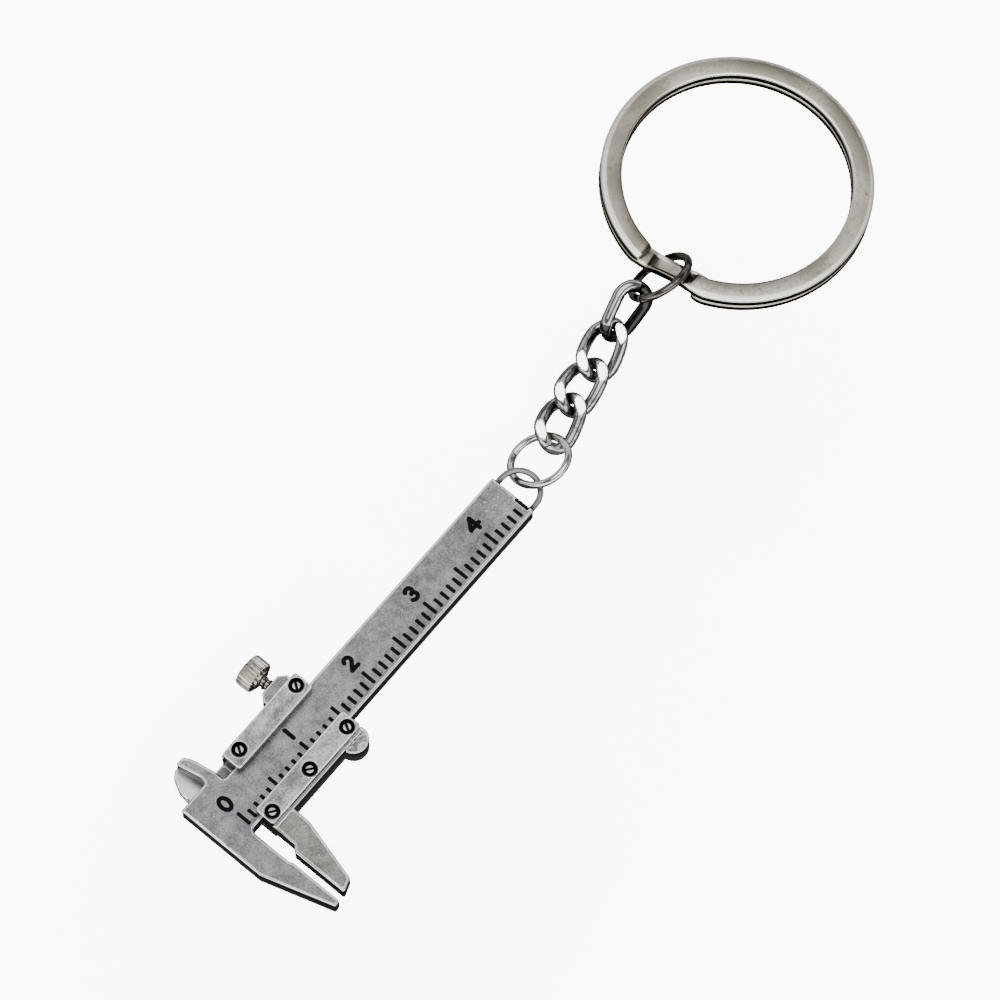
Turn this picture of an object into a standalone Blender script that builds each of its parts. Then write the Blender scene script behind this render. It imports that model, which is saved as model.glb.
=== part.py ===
"""Caliper keychain: a small slide caliper on a curb chain with a split ring.

The caliper lies on its back. X runs along the bar, from the jaws to the loop, with zero at the scale's zero
mark. Y runs across the bar, toward the inside nibs and the lock screw. Z points up, with zero at the back of
the slider, which is the face that the caliper rests on. Lengths are metres.
"""

import math

import bmesh
import bpy
from mathutils import Matrix, Vector

MM = 0.001
DEGREE = math.pi / 180

# Running clearances, and the small gaps between pieces that are screwed together
SLIDE_CLEARANCE = 0.1 * MM
BACK_CLEARANCE = 0.2 * MM
FRONT_CLEARANCE = 0.15 * MM
SEAT_GAP = 0.05 * MM
CUT_OVERRUN = 0.5 * MM
JOIN_DEPTH = 0.3 * MM

# Bar with its scale
BEAM_LENGTH = 45.3 * MM
BEAM_WIDTH = 5.8 * MM
BEAM_THICKNESS = 2.5 * MM
BEAM_ROUNDING = 0.22 * MM
MARK_SPACING = 1.0 * MM
MARKS_PER_LONG_MARK = 5
MARK_LENGTH = 1.2 * MM
LONG_MARK_LENGTH = 1.8 * MM
MARK_WIDTH = 0.34 * MM
MARK_DEPTH = 0.15 * MM
MARK_EDGE_DISTANCE = 0.55 * MM

# Head, fixed outside jaw and fixed inside nib
HEAD_LENGTH = 3.6 * MM
FACE_OFFSET = 0.25 * MM
JAW_DEPTH = 12.05 * MM
NIB_HEIGHT = 4.95 * MM
HEAD_FILLET = 0.6 * MM
NIB_BACK_RADIUS = 2.0 * MM
CORNER_RADIUS = 0.25 * MM
HEAD_LEFT_SHARE = -1.0
HEAD_TOP_SHARE = 0.242
JAW_SHOULDER_SHARE = 0.315

# Loop at the bar's far end
EYE_OUTER_RADIUS = 2.7 * MM
EYE_RIM = 0.7 * MM
EYE_THICKNESS = 0.75 * MM
EYE_LEG = 0.9 * MM

# Slider, measured from its own zero plane, which the jaw opening carries along the bar
JAW_OPENING = 0.9 * MM
SLIDER_LENGTH = 14.3 * MM
PLATE_THICKNESS = 1.2 * MM
PLATE_INSET = 0.1 * MM
WALL_THICKNESS = 1.75 * MM
LOWER_WALL_START = 0.35 * MM
UPPER_WALL_START = 2.6 * MM
SLIDER_ROUNDING = 0.15 * MM
MOVING_JAW_WIDTH = 3.6 * MM
MOVING_JAW_DEPTH = 9.85 * MM
NIB_PLATE_REACH = 2.8 * MM
NIB_PLATE_DROP = 1.0 * MM
MOVING_NIB_HEIGHT = 5.15 * MM

# Thumb tab and boss of the lock screw
TAB_RADIUS = 1.65 * MM
TAB_THICKNESS = 3.1 * MM
TAB_LIFT = 0.4 * MM
TAB_END_DISTANCE = 1.2 * MM
TAB_CENTRE_DEPTH = 0.25 * MM
BOSS_LENGTH = 3.95 * MM
BOSS_HEIGHT = 1.25 * MM
BOSS_THICKNESS = 3.2 * MM
BOSS_STEP = 0.06 * MM
BOSS_CHAMFER = 0.75 * MM
BOSS_END_DISTANCE = 0.45 * MM

# Guide strips and their screws
STRIP_THICKNESS = 1.3 * MM
STRIP_WIDTH = 2.55 * MM
STRIP_LIP = 1.0 * MM
STRIP_OVERHANG = 0.06 * MM
STRIP_CORNER = 0.4 * MM
STRIP_ROUNDING = 0.12 * MM
RECESS_DIAMETER = 1.9 * MM
RECESS_DEPTH = 0.75 * MM
SCREW_HEAD_HEIGHT = 0.5 * MM
SCREW_HEAD_CLEARANCE = 0.1 * MM
SCREW_SHANK_DIAMETER = 0.6 * MM
SCREW_SHANK_LENGTH = 2.4 * MM
SCREW_WALL_DISTANCE = 0.5 * MM
SCREW_END_DISTANCE = 1.0 * MM
UPPER_SCREW_START_DISTANCE = 1.6 * MM
SLOT_WIDTH = 0.3 * MM
SLOT_DEPTH = 0.25 * MM

# How each strip screw stands: its slot's turn from the bar's direction, for the upper strip's two and then
# the lower strip's three
SLOT_TURNS = (58, 54, -36, -38, 62)

# Lock screw
LOCK_THREAD_DIAMETER = 1.5 * MM
LOCK_THREAD_DEPTH = 0.14 * MM
LOCK_THREAD_PITCH = 0.5 * MM
LOCK_THREAD_SHOWN = 1.4 * MM
LOCK_HOLE_CLEARANCE = 0.1 * MM
LOCK_TIP_GAP = 0.2 * MM
LOCK_HEAD_DIAMETER = 3.8 * MM
LOCK_HEAD_LENGTH = 1.9 * MM
LOCK_HEAD_CHAMFER = 0.25 * MM
LOCK_FLUTE_COUNT = 24
LOCK_FLUTE_DEPTH = 0.16 * MM

# Rings and links of the chain
CHAIN_CLEARANCE = 0.1 * MM
JUMP_WIRE = 0.9 * MM
JUMP_LENGTH = 6.2 * MM
JUMP_WIDTH = 7.4 * MM
JUMP_SLACK = 0.5 * MM
LINK_WIRE = 1.35 * MM
LINK_LENGTH = 6.25 * MM
LINK_WIDTH = 3.7 * MM
LINK_GROUND_HEIGHT = 2.5 * MM
CONNECTOR_WIRE = 0.95 * MM
CONNECTOR_DIAMETER = 7.0 * MM
BAND_SHIFT = 1.3 * MM

# Split ring
SPLIT_RING_DIAMETER = 29.8 * MM
BAND_WIDTH = 2.4 * MM
BAND_THICKNESS = 1.0 * MM
BAND_GAP = 0.12 * MM
BAND_ROUNDING = 0.25 * MM

# How each chain piece lies: yaw to the left, pitch upward at its far end, roll lifting its +Y side
JUMP_TURN = (10, -1, -35)
LINK_TURNS = ((16, -7, 0), (9, -5, 0), (17, 7, 0), (6, 28, 52))
CONNECTOR_TURN = (-12, 5, -50)
SPLIT_RING_YAW = 4
LINK_TWIST = 45
END_LINK_TWIST = 15

# Angles around the split ring, counted from its far side: the lower turn's cut end, the short stretch where
# the band climbs past that end, the upper turn's cut end, and half the width of the stretch pressed flat
BAND_START = 196
BAND_CLIMB_START = 172 + 360
BAND_CLIMB_END = 194 + 360
BAND_END = 168 + 720
BAND_FLAT_MIDDLE = 182
BAND_FLAT_HALF = 18

# Levels that follow from the sizes above
BEAM_BOTTOM = PLATE_THICKNESS + BACK_CLEARANCE
BEAM_TOP = BEAM_BOTTOM + BEAM_THICKNESS
BEAM_MIDDLE = BEAM_BOTTOM + BEAM_THICKNESS / 2
BEAM_HALF = BEAM_WIDTH / 2
STRIP_BOTTOM = BEAM_TOP + FRONT_CLEARANCE
STRIP_TOP = STRIP_BOTTOM + STRIP_THICKNESS
WALL_TOP = STRIP_BOTTOM - SEAT_GAP
WALL_INNER = BEAM_HALF + SLIDE_CLEARANCE
WALL_OUTER = WALL_INNER + WALL_THICKNESS
BOSS_OUTER = WALL_OUTER + BOSS_HEIGHT
LOCK_X = SLIDER_LENGTH - BOSS_END_DISTANCE - BOSS_LENGTH / 2

# Sides and steps of the round pieces
ARC_STEP = 15
WIRE_SIDES = 10
RING_STEPS = 36
LINK_STEPS = 32
SCREW_SIDES = 20
THREAD_SIDES = 14
THREAD_STEPS_PER_TURN = 4
FLUTE_STEPS = 3
BAND_STEP = 6


def clear_scene():
    """Remove every object that the file opened with."""
    for obj in list(bpy.data.objects):
        bpy.data.objects.remove(obj, do_unlink=True)


def make_material(name, colour, roughness, metallic):
    """A Principled BSDF with the piece's colour and finish."""
    material = bpy.data.materials.new(name)
    material.use_nodes = True
    shader = material.node_tree.nodes["Principled BSDF"]
    shader.inputs["Base Color"].default_value = (*colour, 1.0)
    shader.inputs["Roughness"].default_value = roughness
    shader.inputs["Metallic"].default_value = metallic
    return material


def make_object(name, bm, material=None, parent=None, smooth_angle=35 * DEGREE):
    """Turn a bmesh into a linked object, smooth except at edges sharper than smooth_angle."""
    bmesh.ops.recalc_face_normals(bm, faces=bm.faces)
    mesh = bpy.data.meshes.new(name)
    bm.to_mesh(mesh)
    bm.free()
    mesh.shade_smooth()
    mesh.set_sharp_from_angle(angle=smooth_angle)
    obj = bpy.data.objects.new(name, mesh)
    bpy.context.collection.objects.link(obj)
    obj.parent = parent
    if material:
        obj.data.materials.append(material)
    return obj


def apply_boolean(obj, operand, operation):
    """Join or cut obj with operand, which stays in the file as a hidden guide."""
    operand.hide_render = True
    operand.display_type = "WIRE"
    modifier = obj.modifiers.new(operand.name, "BOOLEAN")
    modifier.operation = operation
    modifier.solver = "EXACT"
    modifier.object = operand


def arc(centre, radius, start, end, step=ARC_STEP):
    """Points on an arc, from start to end in degrees."""
    count = max(1, math.ceil(abs(end - start) / step))
    angles = [(start + (end - start) * i / count) * DEGREE for i in range(count + 1)]
    return [Vector((centre[0] + radius * math.cos(a), centre[1] + radius * math.sin(a))) for a in angles]


def round_corner(before, corner, after, radius):
    """The corner's points once it is rounded with an arc that meets both of its edges."""
    into = (corner - before).normalized()
    out = (after - corner).normalized()
    turn = into.angle_signed(out)
    reach = min(radius * math.tan(abs(turn) / 2), (corner - before).length / 2, (after - corner).length / 2)
    if reach <= 0:
        return [corner]
    radius = reach / math.tan(abs(turn) / 2)
    side = Vector((-into.y, into.x))
    if turn > 0:
        side = -side
    centre = corner - into * reach + side * radius
    count = max(1, math.ceil(abs(turn) / (ARC_STEP * DEGREE)))
    spoke = -side * radius
    return [centre + Matrix.Rotation(-turn * i / count, 2) @ spoke for i in range(count + 1)]


def round_outline(corners):
    """An outline from (point, radius) pairs, listed counterclockwise."""
    outline = []
    for index, (point, radius) in enumerate(corners):
        before = Vector(corners[index - 1][0])
        after = Vector(corners[(index + 1) % len(corners)][0])
        outline += round_corner(before, Vector(point), after, radius)
    return outline


def inset_outline(outline, distance):
    """Move a counterclockwise outline inward, each corner along its own bisector."""
    moved = []
    for index, point in enumerate(outline):
        into = (point - outline[index - 1]).normalized()
        out = (outline[(index + 1) % len(outline)] - point).normalized()
        bisector = Vector((-into.y - out.y, into.x + out.x)).normalized()
        moved.append(point + bisector * (distance / bisector.dot(Vector((-into.y, into.x)))))
    return moved


def join_rings(bm, rings, closed):
    """Faces between rings of vertices: around a closed loop, or with a cap on each end."""
    count = len(rings[0])
    pairs = list(zip(rings, rings[1:]))
    if closed:
        pairs.append((rings[-1], rings[0]))
    for first, second in pairs:
        for i in range(count):
            j = (i + 1) % count
            bm.faces.new((first[i], first[j], second[j], second[i]))
    if not closed:
        bm.faces.new(rings[0])
        bm.faces.new(rings[-1])


def add_plate(bm, outline, bottom, top, rounding):
    """A flat plate with its upper and lower edges rounded over in two facets."""
    slope = rounding * (1 - math.cos(45 * DEGREE))
    levels = ((rounding, bottom), (slope, bottom + slope), (0, bottom + rounding))
    levels += tuple((inset, bottom + top - level) for inset, level in reversed(levels))
    rings = []
    for inset, level in levels:
        shape = inset_outline(outline, inset)
        rings.append([bm.verts.new((p.x, p.y, level)) for p in shape])
    join_rings(bm, rings, False)


def add_cylinder(bm, centre, radius, bottom, top, sides=SCREW_SIDES):
    """An upright cylinder between two levels."""
    middle = Vector((centre[0], centre[1], (bottom + top) / 2))
    bmesh.ops.create_cone(bm, cap_ends=True, segments=sides, radius1=radius, radius2=radius,
                          depth=top - bottom, matrix=Matrix.Translation(middle))


def add_box(bm, low, high):
    """A box between two opposite corners."""
    size = Vector(high) - Vector(low)
    place = Matrix.Translation(Vector(low) + size / 2) @ Matrix.Diagonal((*size, 1.0))
    bmesh.ops.create_cube(bm, size=1.0, matrix=place)


def add_sweep(bm, path, uprights, section, closed):
    """Sweep a section of (sideways, upright) points along a path, with one upright direction per point."""
    rings = []
    last = len(path) - 1
    for index, point in enumerate(path):
        ahead = path[(index + 1) % len(path)] if closed else path[min(index + 1, last)]
        behind = path[index - 1] if closed else path[max(index - 1, 0)]
        along = (ahead - behind).normalized()
        upright = uprights[index] - along * uprights[index].dot(along)
        upright.normalize()
        sideways = along.cross(upright)
        rings.append([bm.verts.new(point + sideways * u + upright * v) for u, v in section])
    join_rings(bm, rings, closed)


def ellipse_section(width, height, sides=WIRE_SIDES):
    """Points of an oval section."""
    angles = [2 * math.pi * (i + 0.5) / sides for i in range(sides)]
    return [(width / 2 * math.cos(a), height / 2 * math.sin(a)) for a in angles]


def head_outline():
    """The bar and its head: (share of head length, share of nib height or jaw depth) at each corner."""
    nib_shares = ((0.54, 0.0), (0.52, 0.30), (0.39, 0.83), (0.25, 0.985), (-0.05, 1.0), (0.125, 0.39),
                  (0.06, HEAD_TOP_SHARE), (HEAD_LEFT_SHARE, HEAD_TOP_SHARE))
    nib_radii = (CORNER_RADIUS, NIB_BACK_RADIUS, NIB_BACK_RADIUS, CORNER_RADIUS, CORNER_RADIUS, CORNER_RADIUS,
                 CORNER_RADIUS, CORNER_RADIUS)
    jaw_shares = ((HEAD_LEFT_SHARE, JAW_SHOULDER_SHARE), (-0.297, 1.0))
    face_shares = (0.99, 0.465)
    relief_shares = (0.125, 0.43)
    corners = [((BEAM_LENGTH, -BEAM_HALF), CORNER_RADIUS), ((BEAM_LENGTH, BEAM_HALF), CORNER_RADIUS)]
    for (x, y), radius in zip(nib_shares, nib_radii):
        corners.append(((x * HEAD_LENGTH, BEAM_HALF + y * NIB_HEIGHT), radius))
    for x, y in jaw_shares:
        corners.append(((x * HEAD_LENGTH, -BEAM_HALF - y * JAW_DEPTH), CORNER_RADIUS))
    for y in face_shares:
        corners.append(((-FACE_OFFSET, -BEAM_HALF - y * JAW_DEPTH), CORNER_RADIUS))
    relief = -relief_shares[0] * HEAD_LENGTH
    corners.append(((relief, -BEAM_HALF - relief_shares[1] * JAW_DEPTH), CORNER_RADIUS))
    corners.append(((relief, -BEAM_HALF), HEAD_FILLET))
    return round_outline(corners)


def eye_centre():
    """Centre of the loop's round end."""
    return Vector((BEAM_LENGTH + EYE_LEG, 0, BEAM_MIDDLE))


def make_eye(parent):
    """The U-shaped loop, whose legs run into the bar's end."""
    radius = EYE_OUTER_RADIUS - EYE_RIM / 2
    centre = eye_centre()
    path = [Vector((BEAM_LENGTH - JOIN_DEPTH, -radius, BEAM_MIDDLE))]
    path += [p.to_3d() + Vector((0, 0, BEAM_MIDDLE)) for p in arc(centre, radius, -90, 90)]
    path.append(Vector((BEAM_LENGTH - JOIN_DEPTH, radius, BEAM_MIDDLE)))
    bm = bmesh.new()
    up = [Vector((0, 0, 1))] * len(path)
    add_sweep(bm, path, up, ellipse_section(EYE_RIM, EYE_THICKNESS), False)
    return make_object("eye_guide", bm, parent=parent)


def make_marks(parent):
    """Cutters for the scale's grooves, with a longer one at every fifth mark."""
    bm = bmesh.new()
    start = -BEAM_HALF + MARK_EDGE_DISTANCE
    for index in range(math.floor(BEAM_LENGTH / MARK_SPACING) + 1):
        length = MARK_LENGTH if index % MARKS_PER_LONG_MARK else LONG_MARK_LENGTH
        x = index * MARK_SPACING
        add_box(bm, (x - MARK_WIDTH / 2, start, BEAM_TOP - MARK_DEPTH),
                (x + MARK_WIDTH / 2, start + length, BEAM_TOP + CUT_OVERRUN))
    return make_object("scale_marks_cutter", bm, parent=parent)


def make_main_beam(material):
    """The bar with its head, fixed jaw, fixed nib, scale grooves and loop."""
    bm = bmesh.new()
    add_plate(bm, head_outline(), BEAM_BOTTOM, BEAM_TOP, BEAM_ROUNDING)
    beam = make_object("main_beam", bm, material)
    apply_boolean(beam, make_eye(beam), "UNION")
    apply_boolean(beam, make_marks(beam), "DIFFERENCE")
    return beam


def slider_plate_outline():
    """The back plate with the moving nib, which crosses behind the head."""
    nib_shares = ((0.0, 1.0), (0.396, 1.0), (0.668, 0.903), (0.93, 0.633), (1.0, 0.373))
    edge = WALL_OUTER - PLATE_INSET
    end = SLIDER_LENGTH - PLATE_INSET
    corners = [((end, -edge), CORNER_RADIUS), ((end, edge), CORNER_RADIUS)]
    corners.append(((0, edge), CORNER_RADIUS))
    for x, y in nib_shares:
        corners.append(((-x * NIB_PLATE_REACH, BEAM_HALF + y * MOVING_NIB_HEIGHT), CORNER_RADIUS))
    corners.append(((-NIB_PLATE_REACH, -NIB_PLATE_DROP), CORNER_RADIUS))
    corners.append(((LOWER_WALL_START + PLATE_INSET, -NIB_PLATE_DROP), CORNER_RADIUS))
    corners.append(((LOWER_WALL_START + PLATE_INSET, -edge), CORNER_RADIUS))
    return round_outline(corners)


def make_wall(parent, name, start, side):
    """One side wall, on the +Y side or the -Y side of the bar."""
    low, high = sorted((side * WALL_INNER, side * WALL_OUTER))
    corners = ((start, low), (SLIDER_LENGTH, low), (SLIDER_LENGTH, high), (start, high))
    bm = bmesh.new()
    outline = round_outline([(corner, CORNER_RADIUS) for corner in corners])
    add_plate(bm, outline, PLATE_THICKNESS - JOIN_DEPTH, WALL_TOP, SLIDER_ROUNDING)
    return make_object(name, bm, parent=parent)


def make_moving_jaw(parent):
    """The moving outside jaw, in the bar's own layer, below the lower wall."""
    jaw_shares = ((0.17, 0.26), (0.0, 0.32), (0.0, 0.985), (0.06, 1.0), (0.47, 0.943), (0.986, 0.22))
    top = -WALL_OUTER + JOIN_DEPTH
    relief_shares = (0.17, 1.0)
    corners = [((-FACE_OFFSET + share * MOVING_JAW_WIDTH, top), 0) for share in reversed(relief_shares)]
    for x, y in jaw_shares:
        point = (-FACE_OFFSET + x * MOVING_JAW_WIDTH, -WALL_OUTER - y * MOVING_JAW_DEPTH)
        corners.append((point, CORNER_RADIUS))
    bm = bmesh.new()
    add_plate(bm, round_outline(corners), BEAM_BOTTOM, BEAM_TOP, BEAM_ROUNDING)
    return make_object("moving_jaw_guide", bm, parent=parent)


def make_tab(parent):
    """The half-round thumb tab on the lower wall."""
    centre = (SLIDER_LENGTH - TAB_END_DISTANCE, -WALL_OUTER + TAB_CENTRE_DEPTH)
    outline = arc(centre, TAB_RADIUS, 180, 360)
    outline = [p for p in outline if p.x < SLIDER_LENGTH - PLATE_INSET or p.y < -WALL_OUTER]
    inner = centre[1] + JOIN_DEPTH
    outline += [Vector((outline[-1].x, inner)), Vector((outline[0].x, inner))]
    bm = bmesh.new()
    add_plate(bm, outline, TAB_LIFT, TAB_LIFT + TAB_THICKNESS, SLIDER_ROUNDING)
    return make_object("thumb_tab_guide", bm, parent=parent)


def make_boss(parent):
    """The chamfered block on the upper wall that the lock screw goes through."""
    start = LOCK_X - BOSS_LENGTH / 2
    end = LOCK_X + BOSS_LENGTH / 2
    inner = WALL_OUTER - JOIN_DEPTH
    shoulder = BOSS_OUTER - BOSS_CHAMFER
    corners = ((start, inner), (end, inner), (end, shoulder), (end - BOSS_CHAMFER, BOSS_OUTER),
               (start + BOSS_CHAMFER, BOSS_OUTER), (start, shoulder))
    top = WALL_TOP - BOSS_STEP
    bm = bmesh.new()
    add_plate(bm, [Vector(corner) for corner in corners], top - BOSS_THICKNESS, top, SLIDER_ROUNDING)
    return make_object("boss_guide", bm, parent=parent)


def upper_screw_places():
    """Centres of the upper strip's two screws."""
    y = WALL_INNER + SCREW_WALL_DISTANCE
    return [(UPPER_WALL_START + UPPER_SCREW_START_DISTANCE, y), (SLIDER_LENGTH - SCREW_END_DISTANCE, y)]


def lower_screw_places():
    """Centres of the lower strip's three screws, evenly spread."""
    y = -WALL_INNER - SCREW_WALL_DISTANCE
    first = LOWER_WALL_START + SCREW_END_DISTANCE
    last = SLIDER_LENGTH - SCREW_END_DISTANCE
    return [(first, y), ((first + last) / 2, y), (last, y)]


def make_slider_holes(parent):
    """Cutters for the strip screws' holes and the lock screw's hole."""
    bm = bmesh.new()
    bottom = STRIP_TOP - RECESS_DEPTH - SCREW_SHANK_LENGTH
    for place in upper_screw_places() + lower_screw_places():
        add_cylinder(bm, place, SCREW_SHANK_DIAMETER / 2 + SEAT_GAP, bottom - SEAT_GAP,
                     WALL_TOP + CUT_OVERRUN)
    radius = LOCK_THREAD_DIAMETER / 2 + LOCK_HOLE_CLEARANCE
    inner = WALL_INNER - CUT_OVERRUN
    outer = BOSS_OUTER + CUT_OVERRUN
    middle = Matrix.Translation((LOCK_X, (inner + outer) / 2, BEAM_MIDDLE))
    bmesh.ops.create_cone(bm, cap_ends=True, segments=SCREW_SIDES, radius1=radius, radius2=radius,
                          depth=outer - inner, matrix=middle @ Matrix.Rotation(90 * DEGREE, 4, "X"))
    return make_object("slider_holes_cutter", bm, parent=parent)


def make_slider_body(material):
    """The slider: plate, walls, moving jaw, tab and boss in one casting."""
    bm = bmesh.new()
    add_plate(bm, slider_plate_outline(), 0, PLATE_THICKNESS, SLIDER_ROUNDING)
    body = make_object("slider_body", bm, material)
    body.location.x = JAW_OPENING
    apply_boolean(body, make_wall(body, "upper_wall_guide", UPPER_WALL_START, 1), "UNION")
    apply_boolean(body, make_wall(body, "lower_wall_guide", LOWER_WALL_START, -1), "UNION")
    apply_boolean(body, make_moving_jaw(body), "UNION")
    apply_boolean(body, make_tab(body), "UNION")
    apply_boolean(body, make_boss(body), "UNION")
    apply_boolean(body, make_slider_holes(body), "DIFFERENCE")
    return body


def make_strip(name, start, side, places, material, parent):
    """A guide strip with a recess and a hole for each of its screws."""
    inner = side * (WALL_INNER - STRIP_LIP)
    outer = side * (WALL_INNER - STRIP_LIP + STRIP_WIDTH)
    low, high = sorted((inner, outer))
    left = start - STRIP_OVERHANG
    right = SLIDER_LENGTH + STRIP_OVERHANG
    corners = ((left, low), (right, low), (right, high), (left, high))
    bm = bmesh.new()
    outline = round_outline([(corner, STRIP_CORNER) for corner in corners])
    add_plate(bm, outline, STRIP_BOTTOM, STRIP_TOP, STRIP_ROUNDING)
    strip = make_object(name, bm, material, parent)
    recesses = bmesh.new()
    holes = bmesh.new()
    for place in places:
        add_cylinder(recesses, place, RECESS_DIAMETER / 2, STRIP_TOP - RECESS_DEPTH, STRIP_TOP + CUT_OVERRUN)
        add_cylinder(holes, place, SCREW_SHANK_DIAMETER / 2 + SEAT_GAP, STRIP_BOTTOM - CUT_OVERRUN,
                     STRIP_TOP - RECESS_DEPTH + CUT_OVERRUN)
    apply_boolean(strip, make_object(name + "_recess_cutter", recesses, parent=parent), "DIFFERENCE")
    apply_boolean(strip, make_object(name + "_hole_cutter", holes, parent=parent), "DIFFERENCE")
    return strip


def make_strip_screw(name, place, turn, material, parent):
    """A slotted screw, with its head seated in the strip's recess and its slot turned by some degrees."""
    radius = RECESS_DIAMETER / 2 - SCREW_HEAD_CLEARANCE
    seat = STRIP_TOP - RECESS_DEPTH + SEAT_GAP
    top = seat + SCREW_HEAD_HEIGHT
    bm = bmesh.new()
    shank = SCREW_SHANK_DIAMETER / 2
    profile = ((shank, seat - SCREW_SHANK_LENGTH + SEAT_GAP), (shank, seat), (radius, seat), (radius, top))
    rings = []
    for ring_radius, level in profile:
        points = arc((0, 0), ring_radius, 0, 360, 360 / SCREW_SIDES)[:-1]
        rings.append([bm.verts.new((p.x, p.y, level)) for p in points])
    join_rings(bm, rings, False)
    screw = make_object(name, bm, material, parent)
    screw.location = (*place, 0)
    screw.rotation_euler.z = turn * DEGREE
    slot = bmesh.new()
    add_box(slot, (-radius - CUT_OVERRUN, -SLOT_WIDTH / 2, top - SLOT_DEPTH),
            (radius + CUT_OVERRUN, SLOT_WIDTH / 2, top + CUT_OVERRUN))
    apply_boolean(screw, make_object(name + "_slot_cutter", slot, parent=screw), "DIFFERENCE")
    return screw


def thread_radius(angle, height):
    """Radius of the lock screw's thread, a wave that climbs one pitch per turn."""
    wave = math.cos(2 * math.pi * height / LOCK_THREAD_PITCH - angle)
    return (LOCK_THREAD_DIAMETER - LOCK_THREAD_DEPTH) / 2 + wave * LOCK_THREAD_DEPTH / 2


def add_thread(bm, bottom, top):
    """Rings of the threaded shank, with flat ends."""
    step = LOCK_THREAD_PITCH / THREAD_STEPS_PER_TURN
    count = math.ceil((top - bottom) / step)
    rings = []
    for index in range(count + 1):
        height = bottom + (top - bottom) * index / count
        ring = []
        for side in range(THREAD_SIDES):
            angle = 2 * math.pi * side / THREAD_SIDES
            radius = thread_radius(angle, height)
            ring.append(bm.verts.new((radius * math.cos(angle), radius * math.sin(angle), height)))
        rings.append(ring)
    join_rings(bm, rings, False)


def add_knurled_head(bm, bottom, top):
    """The round head with straight flutes and chamfered rims."""
    rings = []
    for inset, level in ((LOCK_HEAD_CHAMFER, bottom), (0, bottom + LOCK_HEAD_CHAMFER),
                         (0, top - LOCK_HEAD_CHAMFER), (LOCK_HEAD_CHAMFER, top)):
        ring = []
        for index in range(LOCK_FLUTE_COUNT * FLUTE_STEPS):
            depth = LOCK_FLUTE_DEPTH if index % FLUTE_STEPS == 0 and not inset else 0
            radius = LOCK_HEAD_DIAMETER / 2 - inset - depth
            angle = 2 * math.pi * index / (LOCK_FLUTE_COUNT * FLUTE_STEPS)
            ring.append(bm.verts.new((radius * math.cos(angle), radius * math.sin(angle), level)))
        rings.append(ring)
    join_rings(bm, rings, False)


def make_lock_screw(material, parent):
    """The knurled screw along +Y, whose own Z is its axis."""
    tip = BEAM_HALF + LOCK_TIP_GAP
    head_start = BOSS_OUTER + LOCK_THREAD_SHOWN
    bm = bmesh.new()
    add_thread(bm, 0, head_start - tip + JOIN_DEPTH)
    screw = make_object("lock_screw", bm, material, parent)
    screw.location = (LOCK_X, tip, BEAM_MIDDLE)
    screw.rotation_euler.x = -90 * DEGREE
    head = bmesh.new()
    add_knurled_head(head, head_start - tip, head_start - tip + LOCK_HEAD_LENGTH)
    apply_boolean(screw, make_object("lock_head_guide", head, parent=screw), "UNION")
    return screw


class ChainPiece:
    """Where one ring or link lies: its turn, its half length, its wire, and its twist at each end."""

    def __init__(self, turn, length, wire, near_twist=0, far_twist=0):
        """Keep the piece's sizes, with the turn as (yaw, pitch, roll) in degrees."""
        yaw, pitch, roll = (angle * DEGREE for angle in turn)
        self.rotation = (Matrix.Rotation(yaw, 3, "Z") @ Matrix.Rotation(-pitch, 3, "Y")
                         @ Matrix.Rotation(roll, 3, "X"))
        self.half = length / 2
        self.wire_radius = wire / 2
        self.near_tangent = self.tangent(near_twist)
        self.far_tangent = self.tangent(far_twist)
        self.centre = Vector((0, 0, 0))

    def tangent(self, twist):
        """Direction of the wire where it crosses an end of the piece."""
        return self.rotation @ Vector((0, math.cos(twist * DEGREE), math.sin(twist * DEGREE)))

    @property
    def along(self):
        """Direction from the near end to the far end."""
        return self.rotation @ Vector((1, 0, 0))

    @property
    def near(self):
        """Centre of the wire at the near end."""
        return self.centre - self.along * self.half

    @property
    def far(self):
        """Centre of the wire at the far end."""
        return self.centre + self.along * self.half

    def hang_from(self, parent):
        """Move the piece so that its near wire lies just inside its parent's far wire."""
        inward = parent.far_tangent.cross(self.near_tangent).normalized()
        if inward.dot(parent.along) > 0:
            inward = -inward
        near = parent.far + inward * (parent.wire_radius + self.wire_radius + CHAIN_CLEARANCE)
        self.centre = near + self.along * self.half
        return self


def place_jump_ring():
    """The jump ring, hung in the loop with a little slack."""
    ring = ChainPiece(JUMP_TURN, JUMP_LENGTH, JUMP_WIRE)
    inside = eye_centre().x + EYE_OUTER_RADIUS - EYE_RIM
    near = Vector((inside - JUMP_SLACK - JUMP_WIRE / 2, 0, BEAM_MIDDLE))
    ring.centre = near + ring.along * ring.half
    return ring


def place_links(parent):
    """The four links, each hung from the one before it."""
    links = []
    for index, turn in enumerate(LINK_TURNS):
        twist = LINK_TWIST if index < len(LINK_TURNS) - 1 else END_LINK_TWIST
        parent = ChainPiece(turn, LINK_LENGTH, LINK_WIRE, twist, -twist).hang_from(parent)
        links.append(parent)
    return links


def chain_object(name, bm, material, piece, pivot):
    """An object whose origin is its joint's pivot, with its mesh in the piece's own turned frame."""
    offset = piece.rotation.transposed() @ (piece.centre - pivot)
    bmesh.ops.translate(bm, vec=offset, verts=bm.verts)
    obj = make_object(name, bm, material, smooth_angle=60 * DEGREE)
    obj.location = pivot
    obj.rotation_euler = piece.rotation.to_euler()
    return obj


def add_ring(bm, length, width, wire):
    """A round or oval ring of round wire, with length and width measured between wire centres."""
    angles = [2 * math.pi * i / RING_STEPS for i in range(RING_STEPS)]
    path = [Vector((length / 2 * math.cos(a), width / 2 * math.sin(a), 0)) for a in angles]
    add_sweep(bm, path, [Vector((0, 0, 1))] * RING_STEPS, ellipse_section(wire, wire), True)


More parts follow.
